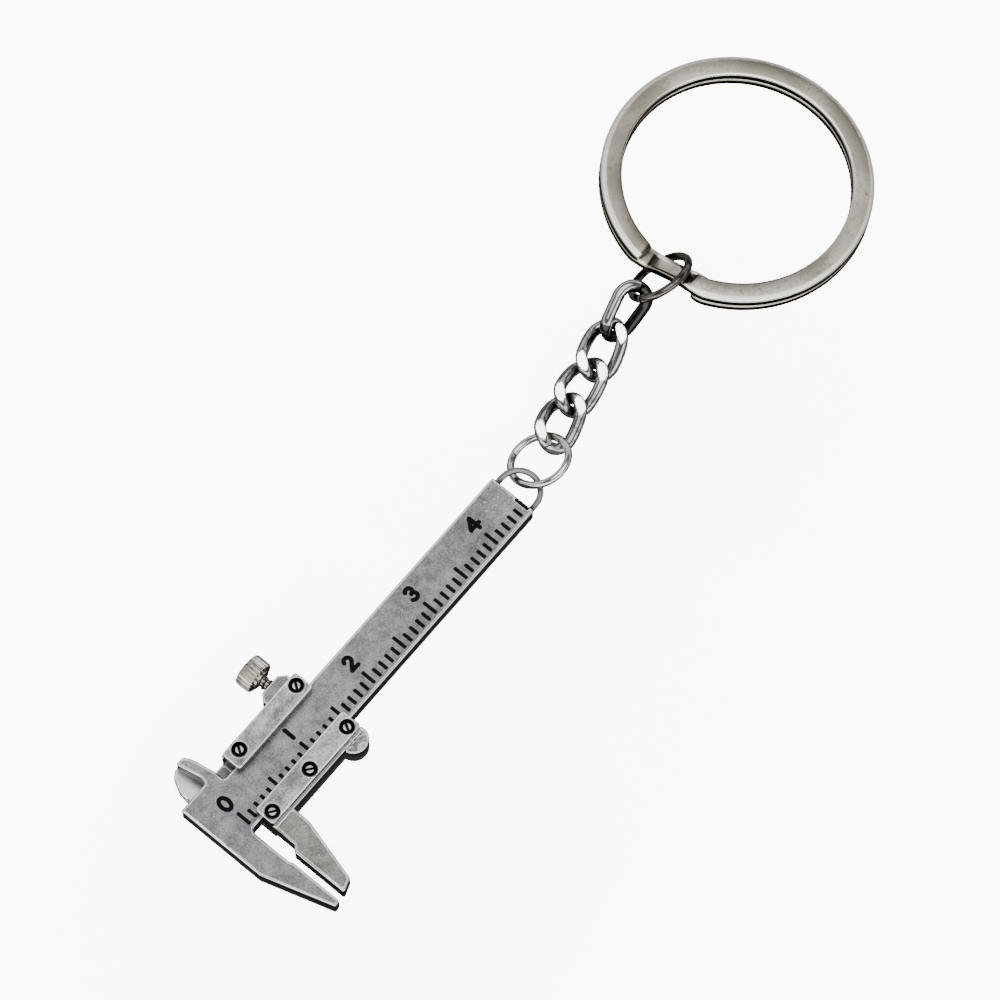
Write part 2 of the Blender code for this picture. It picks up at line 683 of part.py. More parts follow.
def stadium_point(distance, straight, radius):
    """Point of a stadium's outline at a distance along it, counterclockwise from its right end."""
    quarter = math.pi * radius / 2
    if distance > 2 * (quarter + straight) + quarter:
        x, y = stadium_point(4 * quarter + 4 * straight - distance, straight, radius)
        return x, -y
    if distance < quarter:
        return straight + radius * math.cos(distance / radius), radius * math.sin(distance / radius)
    if distance < quarter + 2 * straight:
        return straight - (distance - quarter), radius
    angle = (distance - 2 * straight) / radius
    return -straight + radius * math.cos(angle), radius * math.sin(angle)


def add_link(bm, twist):
    """A link whose oval twists evenly from one end to the other, with ground upper and lower faces."""
    radius = LINK_WIDTH / 2
    straight = LINK_LENGTH / 2 - radius
    around = 2 * math.pi * radius + 4 * straight
    path = []
    uprights = []
    for index in range(LINK_STEPS):
        x, y = stadium_point(around * index / LINK_STEPS, straight, radius)
        turn = Matrix.Rotation(-twist * DEGREE * x / (LINK_LENGTH / 2), 3, "X")
        path.append(turn @ Vector((x, y, 0)))
        uprights.append(turn @ Vector((0, 0, 1)))
    add_sweep(bm, path, uprights, ellipse_section(LINK_WIRE, LINK_WIRE), True)
    for vert in bm.verts:
        vert.co.z = max(-LINK_GROUND_HEIGHT / 2, min(LINK_GROUND_HEIGHT / 2, vert.co.z))


def band_height(angle):
    """Height of the band's centre: bottom turn, a short rise past the gap, then the top turn."""
    share = min(1, max(0, (angle - BAND_CLIMB_START) / (BAND_CLIMB_END - BAND_CLIMB_START)))
    smooth = share * share * (3 - 2 * share)
    return (smooth - 1 / 2) * (BAND_THICKNESS + BAND_GAP)


def band_radius(angle):
    """Distance of the band's centre from the ring's, less where the climbing stretch is pressed flat."""
    away = (angle - BAND_FLAT_MIDDLE + 180) % 360 - 180
    radius = (SPLIT_RING_DIAMETER - BAND_WIDTH) / 2
    if abs(away) >= BAND_FLAT_HALF:
        return radius
    return radius * math.cos(BAND_FLAT_HALF * DEGREE) / math.cos(away * DEGREE)


def band_section():
    """A rectangle with rounded corners."""
    half_width = BAND_WIDTH / 2 - BAND_ROUNDING
    half_height = BAND_THICKNESS / 2 - BAND_ROUNDING
    points = []
    for quarter, (sx, sy) in enumerate(((1, 1), (-1, 1), (-1, -1), (1, -1))):
        corner = (sx * half_width, sy * half_height)
        points += arc(corner, BAND_ROUNDING, quarter * 90, quarter * 90 + 90, 90)
    return [(p.x, p.y) for p in points]


def add_split_ring(bm):
    """One flat band wound two turns about the ring's centre."""
    count = math.ceil((BAND_END - BAND_START) / BAND_STEP)
    path = []
    for index in range(count + 1):
        angle = BAND_START + (BAND_END - BAND_START) * index / count
        radius = band_radius(angle)
        x = radius * math.cos(angle * DEGREE)
        y = radius * math.sin(angle * DEGREE)
        path.append(Vector((x, y, band_height(angle))))
    add_sweep(bm, path, [Vector((0, 0, 1))] * len(path), band_section(), False)


def place_split_ring(connector):
    """The split ring, its near side held up in the connector and its far side on the ground."""
    half_height = BAND_THICKNESS + BAND_GAP / 2
    near_radius = band_radius(180)
    far_radius = band_radius(0)
    near = connector.centre + Matrix.Rotation(SPLIT_RING_YAW * DEGREE, 3, "Z") @ Vector((BAND_SHIFT, 0, 0))
    tilt = math.asin(max(0, near.z - half_height) / (near_radius + far_radius + BAND_WIDTH / 2)) / DEGREE
    ring = ChainPiece((SPLIT_RING_YAW, -tilt, 0), 2 * near_radius, 2 * half_height)
    ring.centre = near + ring.along * ring.half
    return ring


def make_chain(wire_metal, ring_metal):
    """The jump ring, the links, the connector ring and the split ring."""
    jump = place_jump_ring()
    bm = bmesh.new()
    add_ring(bm, JUMP_LENGTH, JUMP_WIDTH, JUMP_WIRE)
    chain_object("jump_ring", bm, wire_metal, jump, eye_centre())
    links = place_links(jump)
    parents = [jump] + links
    for index, link in enumerate(links):
        bm = bmesh.new()
        add_link(bm, LINK_TWIST if index < len(links) - 1 else END_LINK_TWIST)
        pivot = parents[index].far if index % 2 else link.near
        chain_object(f"chain_link_{index + 1}", bm, wire_metal, link, pivot)
    connector = ChainPiece(CONNECTOR_TURN, CONNECTOR_DIAMETER, CONNECTOR_WIRE).hang_from(links[-1])
    bm = bmesh.new()
    add_ring(bm, CONNECTOR_DIAMETER, CONNECTOR_DIAMETER, CONNECTOR_WIRE)
    chain_object("connector_ring", bm, wire_metal, connector, connector.near)
    ring = place_split_ring(connector)
    bm = bmesh.new()
    add_split_ring(bm)
    chain_object("split_ring", bm, ring_metal, ring, ring.near)


def main():
    """Build the whole caliper keychain."""
    clear_scene()
    cast = make_material("cast_zinc", (0.42, 0.42, 0.41), 0.42, 0.9)
    slider_cast = make_material("slider_zinc", (0.40, 0.40, 0.40), 0.42, 0.9)
    strip_metal = make_material("strip_metal", (0.46, 0.45, 0.43), 0.36, 0.9)
    screw_metal = make_material("screw_steel", (0.30, 0.30, 0.30), 0.35, 1.0)
    lock_metal = make_material("lock_nickel", (0.55, 0.52, 0.47), 0.25, 1.0)
    wire_metal = make_material("chain_nickel", (0.58, 0.56, 0.53), 0.2, 1.0)
    ring_metal = make_material("ring_nickel", (0.62, 0.60, 0.56), 0.22, 1.0)
    make_main_beam(cast)
    slider = make_slider_body(slider_cast)
    upper = upper_screw_places()
    lower = lower_screw_places()
    make_strip("upper_guide_strip", UPPER_WALL_START, 1, upper, strip_metal, slider)
    make_strip("lower_guide_strip", LOWER_WALL_START, -1, lower, strip_metal, slider)
    for index, (place, turn) in enumerate(zip(upper + lower, SLOT_TURNS)):
        make_strip_screw(f"strip_screw_{index + 1}", place, turn, screw_metal, slider)
    make_lock_screw(lock_metal, slider)
    make_chain(wire_metal, ring_metal)


main()
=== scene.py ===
"""Looks of a miniature caliper keychain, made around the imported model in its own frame, in metres.

X runs along the bar from the jaws to the loop, Y across it toward the nibs, and Z up, out of the scale face.
The castings and strips keep the model's own shape, on copies whose flat faces are divided anew, and get their
finishes. Enamel, screws, chain and rings are new surfaces.
"""

import logging
import math
from collections.abc import Sequence
from dataclasses import dataclass, field
from enum import Enum

import bmesh
import bpy
import numpy as np
from mathutils import Matrix, Vector
from mathutils.geometry import delaunay_2d_cdt


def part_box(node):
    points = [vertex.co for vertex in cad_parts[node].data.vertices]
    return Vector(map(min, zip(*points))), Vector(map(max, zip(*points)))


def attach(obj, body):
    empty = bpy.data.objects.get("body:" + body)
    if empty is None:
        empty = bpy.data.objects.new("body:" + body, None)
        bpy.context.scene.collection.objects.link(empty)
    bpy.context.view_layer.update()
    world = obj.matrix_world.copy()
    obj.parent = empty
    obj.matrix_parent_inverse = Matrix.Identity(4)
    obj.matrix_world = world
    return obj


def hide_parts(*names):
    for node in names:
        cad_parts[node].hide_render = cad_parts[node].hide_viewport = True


MM = 0.001
DEGREE = math.pi / 180
FACING = "facing"
RIM = "rim"
WELD_DISTANCE = 1e-7
STRAIGHT_UP = 0.999
UP = np.array([0.0, 0.0, 1.0])
Colour = tuple[float, float, float]
Range = tuple[float, float]

log = logging.getLogger("caliper_keychain")
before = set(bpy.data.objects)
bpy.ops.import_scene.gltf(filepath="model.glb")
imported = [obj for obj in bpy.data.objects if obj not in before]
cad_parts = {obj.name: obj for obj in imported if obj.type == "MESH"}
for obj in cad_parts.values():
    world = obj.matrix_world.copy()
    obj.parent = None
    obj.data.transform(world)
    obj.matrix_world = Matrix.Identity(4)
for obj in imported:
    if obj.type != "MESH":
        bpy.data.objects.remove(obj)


# Meshes as arrays


@dataclass
class Surface:
    """A closed mesh kept as arrays until it is made an object.

    Attributes:
        points: N x 3 places.
        quads: M x 4 point numbers.
        caps: Flat end faces, each a list of point numbers.
        marks: The material number of each quad, and then of each cap.
    """

    points: np.ndarray
    quads: np.ndarray
    caps: list[np.ndarray] = field(default_factory=list)
    marks: np.ndarray | None = None

    def volume(self) -> float:
        """Signed volume: a sixth of the sum of the triangles' triple products, fanned from each face's start.

        Returns:
            The volume, which is negative where the faces point inward.
        """
        p = self.points
        triangles = [self.quads[:, (0, 1, 2)], self.quads[:, (0, 2, 3)]]
        for cap in self.caps:
            fan = np.stack([np.full(len(cap) - 2, cap[0]), cap[1:-1], cap[2:]], axis=1)
            triangles.append(fan)
        t = np.concatenate(triangles)
        return float(np.einsum("ij,ij->i", p[t[:, 0]], np.cross(p[t[:, 1]], p[t[:, 2]])).sum() / 6)

    def outward(self) -> "Surface":
        """Turn the faces to point outward.

        Returns:
            The surface itself.
        """
        if self.volume() < 0:
            self.quads = self.quads[:, ::-1]
            self.caps = [cap[::-1] for cap in self.caps]
        return self

    def material_numbers(self) -> np.ndarray:
        """The material number of every face.

        Returns:
            The quads' numbers and then the caps', which are 0 where none are marked.
        """
        if self.marks is None:
            return np.zeros(len(self.quads) + len(self.caps), np.int32)
        return self.marks.astype(np.int32)

    def make(self, name: str, materials: Sequence[bpy.types.Material], sharp: float = 35) -> bpy.types.Object:
        """Turn the surface into an object at the origin.

        Args:
            name: The object's name.
            materials: Its materials, in the order of their numbers.
            sharp: Edges that bend by more degrees than this stay sharp.

        Returns:
            The new object, with each corner's direction stored for its materials.
        """
        mesh = bpy.data.meshes.new(name)
        faces = self.quads.tolist() + [cap.tolist() for cap in self.caps]
        mesh.from_pydata(self.points.astype(float), [], faces)
        for material in materials:
            mesh.materials.append(material)
        mesh.polygons.foreach_set("material_index", self.material_numbers())
        mesh.shade_smooth()
        mesh.set_sharp_from_angle(angle=sharp * DEGREE)
        mesh.update()
        store_facing(mesh)
        return add_object(name, mesh)


def add_object(name: str, data: bpy.types.ID) -> bpy.types.Object:
    """Put a mesh, a light or a camera into the scene.

    Args:
        name: The object's name.
        data: What the object holds.

    Returns:
        The new object, at the origin.
    """
    obj = bpy.data.objects.new(name, data)
    bpy.context.scene.collection.objects.link(obj)
    return obj


def join(surfaces: Sequence[Surface]) -> Surface:
    """Several surfaces as one, with the point numbers of each moved past those before it.

    Args:
        surfaces: The surfaces, which stay as they are.

    Returns:
        The joined surface, with all quads before all caps.
    """
    starts = np.cumsum([0] + [len(s.points) for s in surfaces])
    points = np.concatenate([s.points for s in surfaces])
    quads = np.concatenate([s.quads + start for s, start in zip(surfaces, starts)])
    caps = [cap + start for s, start in zip(surfaces, starts) for cap in s.caps]
    numbers = [s.material_numbers() for s in surfaces]
    marks = np.concatenate([n[:len(s.quads)] for s, n in zip(surfaces, numbers)]
                           + [n[len(s.quads):] for s, n in zip(surfaces, numbers)])
    return Surface(points, quads, caps, marks)


def store_facing(mesh: bpy.types.Mesh) -> None:
    """Keep each corner's direction at rest as an attribute, which the finishes read for edges and walls.

    Args:
        mesh: The mesh, whose attribute is made or written anew.
    """
    directions = np.empty(len(mesh.loops) * 3, np.float32)
    mesh.corner_normals.foreach_get("vector", directions)
    attribute = mesh.attributes.get(FACING) or mesh.attributes.new(FACING, "FLOAT_VECTOR", "CORNER")
    attribute.data.foreach_set("vector", directions)


def rings_surface(rings: np.ndarray, closed: bool) -> Surface:
    """Quads between neighbouring rings of points.

    Args:
        rings: R x C x 3 places, each ring closed in itself.
        closed: Whether the last ring joins the first; if not, both end rings are capped.

    Returns:
        The surface, with ring r's point c numbered r * C + c.
    """
    count, around = rings.shape[:2]
    number = np.arange(count * around).reshape(count, around)
    first = number if closed else number[:-1]
    second = np.roll(number, -1, axis=0) if closed else number[1:]
    quads = np.stack([first, np.roll(first, -1, axis=1), np.roll(second, -1, axis=1), second], axis=-1)
    caps = [] if closed else [number[0][::-1], number[-1]]
    return Surface(rings.reshape(-1, 3), quads.reshape(-1, 4), caps).outward()


def unit(vectors: np.ndarray) -> np.ndarray:
    """The vectors of the last axis, each divided by its length, which for one of no length is taken as 1."""
    lengths = np.linalg.norm(vectors, axis=-1, keepdims=True)
    return vectors / np.where(lengths > 0, lengths, 1)


def sweep(path: np.ndarray, uprights: np.ndarray, sections: np.ndarray, closed: bool) -> Surface:
    """Carry a section along a path: point + sideways * u + upright * v, square to the path.

    Args:
        path: N x 3 places.
        uprights: N x 3 directions, or one, that v follows.
        sections: N x S x 2 pairs (u, v), or S x 2 for the same section everywhere.
        closed: Whether the path closes.

    Returns:
        The surface, capped at both ends where the path is open.
    """
    if closed:
        along = unit(np.roll(path, -1, axis=0) - np.roll(path, 1, axis=0))
    else:
        along = unit(np.gradient(path, axis=0))
    uprights = np.broadcast_to(uprights, path.shape)
    upright = unit(uprights - along * np.sum(uprights * along, axis=1, keepdims=True))
    sideways = np.cross(along, upright)
    sections = np.broadcast_to(sections, (len(path), *sections.shape[-2:]))
    rings = (path[:, None] + sideways[:, None] * sections[..., :1] + upright[:, None] * sections[..., 1:])
    return rings_surface(rings, closed)


def circle(radius: float, count: int, second_radius: float | None = None) -> np.ndarray:
    """Count x 2 points of a circle or an ellipse about the origin."""
    angles = 2 * np.pi * np.arange(count) / count
    return np.stack([radius * np.cos(angles), (second_radius or radius) * np.sin(angles)], axis=1)


def arc(centre: Sequence[float], radii: Sequence[float], start: float, end: float, count: int) -> np.ndarray:
    """Count x 2 points of an elliptical arc between two angles in degrees."""
    angles = np.linspace(start, end, count) * DEGREE
    return np.stack([centre[0] + radii[0] * np.cos(angles), centre[1] + radii[1] * np.sin(angles)], axis=1)


def turned(profile: np.ndarray, sides: int, ripple: np.ndarray | None = None) -> np.ndarray:
    """Rings of a turned shape about Z.

    Args:
        profile: R x 2 pairs (radius, height).
        sides: Points around.
        ripple: R x sides amounts to take off the radius.

    Returns:
        R x sides x 3 places: (r cos a, r sin a, height).
    """
    angles = 2 * np.pi * np.arange(sides) / sides
    radius = profile[:, :1] - (0 if ripple is None else ripple)
    radius = np.broadcast_to(radius, (len(profile), sides))
    height = np.broadcast_to(profile[:, 1:], radius.shape)
    return np.stack([radius * np.cos(angles), radius * np.sin(angles), height], axis=-1)


# Shader maths


class Value:
    """One number socket whose operators add Math nodes."""

    def __init__(self, graph: "Graph", socket: bpy.types.NodeSocket) -> None:
        """Keep the graph that the socket belongs to."""
        self.graph = graph
        self.socket = socket

    def __add__(self, other: "Value | float") -> "Value":
        """Sum."""
        return self.graph.math("ADD", self, other)

    def __sub__(self, other: "Value | float") -> "Value":
        """Difference."""
        return self.graph.math("SUBTRACT", self, other)

    def __rsub__(self, other: float) -> "Value":
        """Difference from a number."""
        return self.graph.math("SUBTRACT", other, self)

    def __mul__(self, other: "Value | float") -> "Value":
        """Product."""
        return self.graph.math("MULTIPLY", self, other)

    __radd__ = __add__
    __rmul__ = __mul__


class Graph:
    """The nodes of one material or world."""

    # A Mix node's sockets for colours have the same names as its others, so they go by number.
    MIX_INPUTS = (0, 6, 7)
    MIX_OUTPUT = 2

    def __init__(self, tree: bpy.types.NodeTree) -> None:
        """Start from a tree."""
        self.tree = tree

    def add(self, kind: str, settings: dict | None = None, inputs: dict | None = None) -> bpy.types.Node:
        """Add a node.

        Args:
            kind: The node's type.
            settings: Its properties, which are set first.
            inputs: What each socket, by name or number, holds or is linked to.

        Returns:
            The node.
        """
        node = self.tree.nodes.new(kind)
        for name, value in (settings or {}).items():
            setattr(node, name, value)
        for name, value in (inputs or {}).items():
            self.feed(node.inputs[name], value)
        return node

    def feed(self, socket: bpy.types.NodeSocket, value: object) -> None:
        """Link a socket to a value, or set it to a constant.

        Args:
            socket: The socket.
            value: A Value, or a constant, which for a colour has three parts.
        """
        if isinstance(value, Value):
            self.tree.links.new(value.socket, socket)
        elif isinstance(value, tuple) and len(value) == 3 and socket.type == "RGBA":
            socket.default_value = (*value, 1.0)
        else:
            socket.default_value = value

    def out(self, node: bpy.types.Node, name: str | int = 0) -> Value:
        """One output of a node."""
        return Value(self, node.outputs[name])

    def math(self, operation: str, *values: "Value | float") -> Value:
        """A Math node."""
        return self.out(self.add("ShaderNodeMath", {"operation": operation}, dict(enumerate(values))))

    def mix(self, factor: "Value | float", first: "Value | Colour", second: "Value | Colour") -> Value:
        """A blend of two colours."""
        inputs = dict(zip(self.MIX_INPUTS, (factor, first, second)))
        return self.out(self.add("ShaderNodeMix", {"data_type": "RGBA"}, inputs), self.MIX_OUTPUT)

    def step(self, value: Value, low: float, high: float) -> Value:
        """0 below low, 1 above high, and a smooth rise between."""
        inputs = {"Value": value, "From Min": low, "From Max": high}
        return self.out(self.add("ShaderNodeMapRange", {"interpolation_type": "SMOOTHSTEP"}, inputs))

    def noise(self, place: Value, size: float, detail: float = 2, distortion: float = 0) -> Value:
        """Noise from 0 to 1, with features of a size in metres."""
        inputs = {"Vector": place, "Scale": 1 / size, "Detail": detail, "Distortion": distortion}
        return self.out(self.add("ShaderNodeTexNoise", {}, inputs))

    def object_place(self) -> Value:
        """Object coordinates."""
        return self.out(self.add("ShaderNodeTexCoord"), "Object")

    def stretched(self, place: Value, stretch: Sequence[float]) -> Value:
        """A place with its axes scaled."""
        inputs = {"Vector": place, "Scale": tuple(stretch)}
        return self.out(self.add("ShaderNodeMapping", {"vector_type": "POINT"}, inputs))

    def part(self, vector: Value, axis: str) -> Value:
        """The X, Y or Z of a place or a direction."""
        return self.out(self.add("ShaderNodeSeparateXYZ", {}, {"Vector": vector}), axis)

    def measure(self, operation: str, vector: Value, fixed: Sequence[float]) -> Value:
        """The one number that Vector Math gives for a vector and a fixed one, such as DISTANCE."""
        node = self.add("ShaderNodeVectorMath", {"operation": operation}, {0: vector, 1: tuple(fixed)})
        return self.out(node, "Value")

    def upness(self) -> Value:
        """How far a corner faced up or down at rest, from 0 on a wall to 1 on a flat face."""
        stored = self.out(self.add("ShaderNodeAttribute", {"attribute_name": FACING}), "Vector")
        return self.math("ABSOLUTE", self.part(stored, "Z"))

    def rim(self) -> Value:
        """How near a point lies to the edge of a flat face, from 0 on the face to 1 on its edge."""
        return self.out(self.add("ShaderNodeAttribute", {"attribute_name": RIM}), "Fac")

    def bump(self, height: Value, depth: float, strength: float) -> Value:
        """A bump whose full height is a depth in metres."""
        inputs = {"Strength": strength, "Distance": depth, "Height": height}
        return self.out(self.add("ShaderNodeBump", {}, inputs))


def new_material(name: str) -> tuple[bpy.types.Material, Graph, bpy.types.Node]:
    """Start a material.

    Args:
        name: Its name.

    Returns:
        The material, its graph and its surface shader.
    """
    material = bpy.data.materials.new(name)
    material.use_nodes = True
    return material, Graph(material.node_tree), material.node_tree.nodes["Principled BSDF"]


# Finishes


@dataclass(frozen=True)
class CastFinish:
    """Plated zinc casting: satin mottled faces, bright edges of wear and painted highlight, and walls in
    painted shade.

    A range holds the values at which an effect starts and is full. Those of faces, walls and rounded edges
    are of upness, which is 0 on a wall and 1 on a flat face. A share tells how much of an effect shows.

    Attributes:
        name: The material's name.
        dark: Colour of the darker blotches on flat faces.
        light: Colour of the lighter blotches.
        wall: Colour of the walls, a painted shade.
        edge: Colour of the bright edges, partly wear and partly painted highlight.
        roughness: Roughness of the flat faces.
        edge_roughness: Roughness of the edges.
        grain_roughness: How much the roughness changes with the grain.
        blotch_roughness: How much it changes with the blotches.
        blotch: Size of the blotches.
        cloud_blotches: Size of the clouds, in blotches.
        smear_blotches: Size of the smears, in blotches.
        smear_stretch: How the smears are drawn out along X.
        smears: Share of long smears in the blotches.
        tone_weights: Weights of blotches, clouds and grain in the mottling.
        tone_range: Mottling at which a face is dark, and light.
        grain: Size of the casting's grain.
        relief: Depth of the grain.
        waves: Depth of the slow waves in the surface.
        bump_strength: Strength of the relief.
        face_range: Where a corner counts as on a flat face.
        wall_range: Where it no longer counts as on a wall.
        round_range: Where a rounded edge is bright.
        rub_size: Size of the spots that break up a bright rim.
        rub_spread: How far they do.
        rub_range: Rim at which a flat face gets the bright edge.
        rim_share: Share of the bright edge on a flat face's rim.
        edge_share: Share of the edge's colour where an edge is bright.
        low_wall: Colour of the walls near the ground, where their painted shade is lighter.
        low_wall_share: Least share of that colour, to which the grain adds.
        shade_bottom: Height below which a wall has its low colour.
        shade_top: Height above which a wall is at its darkest.
        zero_range: Where along X the faces near the ground turn from pale to painted shade.
        pale_below: How much of the edges' colour a flat face near the ground has before that.
        low_shade_share: How much of the walls' colour it has past that.
        dull_from: Where along X the casting gets dull, with few bright edges. The default is past its end.
        dull_fade: The length over which it does.
        dull_share: How much of the walls' colour it gets there.
        dull_edge_loss: How much of its bright edges it loses there.
        worn_range: Where along X the face starts to have more nicks, and has most of them.
        worn_share: How many more.
        nick_blotches: Size of the nicks' noise, in blotches.
        nick_range: Noise at which a nick starts, and is full.
        nick_share: Share of the edge's colour in a nick.
        nick_depth: Depth of a nick, as a multiple of the waves.
        dent: Middle of a hammered place. The default is far from every casting.
        dent_reach: Distances from there at which the hammering starts to end, and has ended.
        dent_depth: Depth of its dents, as a multiple of the waves.
        swirl_size: Size of its dents.
        swirl_range: Noise at which a dent's floor gets a painted highlight.
        swirl_share: Share of the edge's colour in that painted highlight.
    """

    name: str
    dark: Colour
    light: Colour
    wall: Colour
    edge: Colour
    roughness: float = 0.36
    edge_roughness: float = 0.2
    grain_roughness: float = 0.16
    blotch_roughness: float = 0.12
    blotch: float = 1.3 * MM
    cloud_blotches: float = 4
    smear_blotches: float = 0.6
    smear_stretch: tuple[float, float, float] = (0.25, 1, 1)
    smears: float = 0.0
    tone_weights: tuple[float, float, float] = (0.45, 0.25, 0.55)
    tone_range: Range = (0.42, 0.88)
    grain: float = 0.16 * MM
    relief: float = 0.006 * MM
    waves: float = 0.012 * MM
    bump_strength: float = 0.6
    face_range: Range = (0.9, 0.995)
    wall_range: Range = (0.0, 0.3)
    round_range: Range = (0.25, 0.65)
    rub_size: float = 0.5 * MM
    rub_spread: float = 0.7
    rub_range: Range = (0.3, 0.85)
    rim_share: float = 0.62
    edge_share: float = 0.85
    low_wall: Colour = (0.4, 0.4, 0.39)
    low_wall_share: float = 0.4
    shade_bottom: float = 1.0 * MM
    shade_top: float = 3.3 * MM
    zero_range: Range = (-0.5 * MM, 0.5 * MM)
    pale_below: float = 0.0
    low_shade_share: float = 0.7
    dull_from: float = 1.0
    dull_fade: float = 0.1 * MM
    dull_share: float = 0.5
    dull_edge_loss: float = 0.75
    worn_range: Range = (36.5 * MM, 43 * MM)
    worn_share: float = 0.07
    nick_blotches: float = 0.3
    nick_range: Range = (0.69, 0.75)
    nick_share: float = 0.3
    nick_depth: float = 0.4
    dent: tuple[float, float, float] = (0.0, 0.0, -1.0)
    dent_reach: Range = (1.9 * MM, 2.5 * MM)
    dent_depth: float = 14.0
    swirl_size: float = 0.9 * MM
    swirl_range: Range = (0.45, 0.65)
    swirl_share: float = 0.35

    def wear_and_highlight(self, graph: Graph, place: Value, up: Value, face: Value) -> Value:
        """How far the plate is bright, from wear and painted highlight: on rounded edges,
        or by less within the rim of a flat face.

        Args:
            graph: The material's graph.
            place: Object coordinates.
            up: Upness.
            face: 1 on flat faces.

        Returns:
            A share from 0 to 1.
        """
        rim = graph.rim() + (graph.noise(place, self.rub_size, detail=3) - 0.5) * self.rub_spread
        rounded = (1 - face) * graph.step(up, *self.round_range)
        return graph.math("MAXIMUM", rounded, graph.step(rim, *self.rub_range) * face * self.rim_share)

    def mottling(self, graph: Graph, place: Value, blotch: Value, grain: Value) -> Value:
        """How light a flat face is: a weighed sum of blotches, clouds, smears and grain, spread by a step.

        Args:
            graph: The material's graph.
            place: Object coordinates.
            blotch: The blotches.
            grain: The grain.

        Returns:
            A share from 0 to 1.
        """
        cloud = graph.noise(place, self.blotch * self.cloud_blotches)
        drawn_out = graph.stretched(place, self.smear_stretch)
        smear = graph.noise(drawn_out, self.blotch * self.smear_blotches, detail=3, distortion=0.4)
        blotch_weight, cloud_weight, grain_weight = self.tone_weights
        low, high = self.tone_range
        total = blotch * blotch_weight + cloud * cloud_weight + smear * self.smears + grain * grain_weight
        return graph.step(total, low + self.smears / 2, high + self.smears / 2)

    def material(self) -> bpy.types.Material:
        """Build the material: mottled faces, then nicks, low places, walls in painted shade and bright edges
        of wear and painted highlight, and last the dents with their painted highlight.

        Returns:
            The material.
        """
        material, graph, shader = new_material(self.name)
        place = graph.object_place()
        up = graph.upness()
        x = graph.part(place, "X")
        face = graph.step(up, *self.face_range)
        dull = graph.step(x, self.dull_from, self.dull_from + self.dull_fade)
        # Mask of the bright edges: partly wear, partly painted highlight.
        edge = self.wear_and_highlight(graph, place, up, face) * (1 - dull * self.dull_edge_loss)
        low = 1 - graph.step(graph.part(place, "Z"), self.shade_bottom, self.shade_top)
        blotch = graph.noise(place, self.blotch, detail=4, distortion=0.6)
        grain = graph.noise(place, self.grain, detail=3)
        worn = graph.step(x, *self.worn_range) * self.worn_share
        nick = graph.step(graph.noise(place, self.blotch * self.nick_blotches) + worn, *self.nick_range)
        before = 1 - graph.step(x, *self.zero_range)
        dent = 1 - graph.step(graph.measure("DISTANCE", place, self.dent), *self.dent_reach)
        swirl = graph.noise(place, self.swirl_size, detail=1, distortion=1.5)

        colour = graph.mix(self.mottling(graph, place, blotch, grain), self.dark, self.light)
        colour = graph.mix(nick * face * self.nick_share, colour, self.edge)
        colour = graph.mix(low * face * before * self.pale_below, colour, self.edge)
        # Painted shade: flat faces near the ground past zero take the walls' colour.
        colour = graph.mix(low * face * (1 - before) * self.low_shade_share, colour, self.wall)
        colour = graph.mix(dull * self.dull_share, colour, self.wall)
        # Painted shade on the walls, lighter near the ground.
        wall = graph.mix(low * (self.low_wall_share + grain), self.wall, self.low_wall)
        colour = graph.mix(1 - graph.step(up, *self.wall_range), colour, wall)
        # Bright edges: partly wear, partly painted highlight.
        colour = graph.mix(edge * self.edge_share, colour, self.edge)
        # Painted highlight on the floors of the hammered dents.
        dent_highlight = dent * face * graph.step(swirl, *self.swirl_range)
        colour = graph.mix(dent_highlight * self.swirl_share, colour, self.edge)
        graph.feed(shader.inputs["Base Color"], colour)

        rough = self.roughness + (grain - 0.5) * self.grain_roughness + (blotch - 0.5) * self.blotch_roughness
        rough = rough + edge * (self.edge_roughness - self.roughness)
        graph.feed(shader.inputs["Roughness"], rough)
        shader.inputs["Metallic"].default_value = 1.0
        dents = swirl * dent * self.dent_depth
        relief = grain * (self.relief / self.waves) + blotch + nick * self.nick_depth + dents
        graph.feed(shader.inputs["Normal"], graph.bump(relief, self.waves, self.bump_strength))
        return material


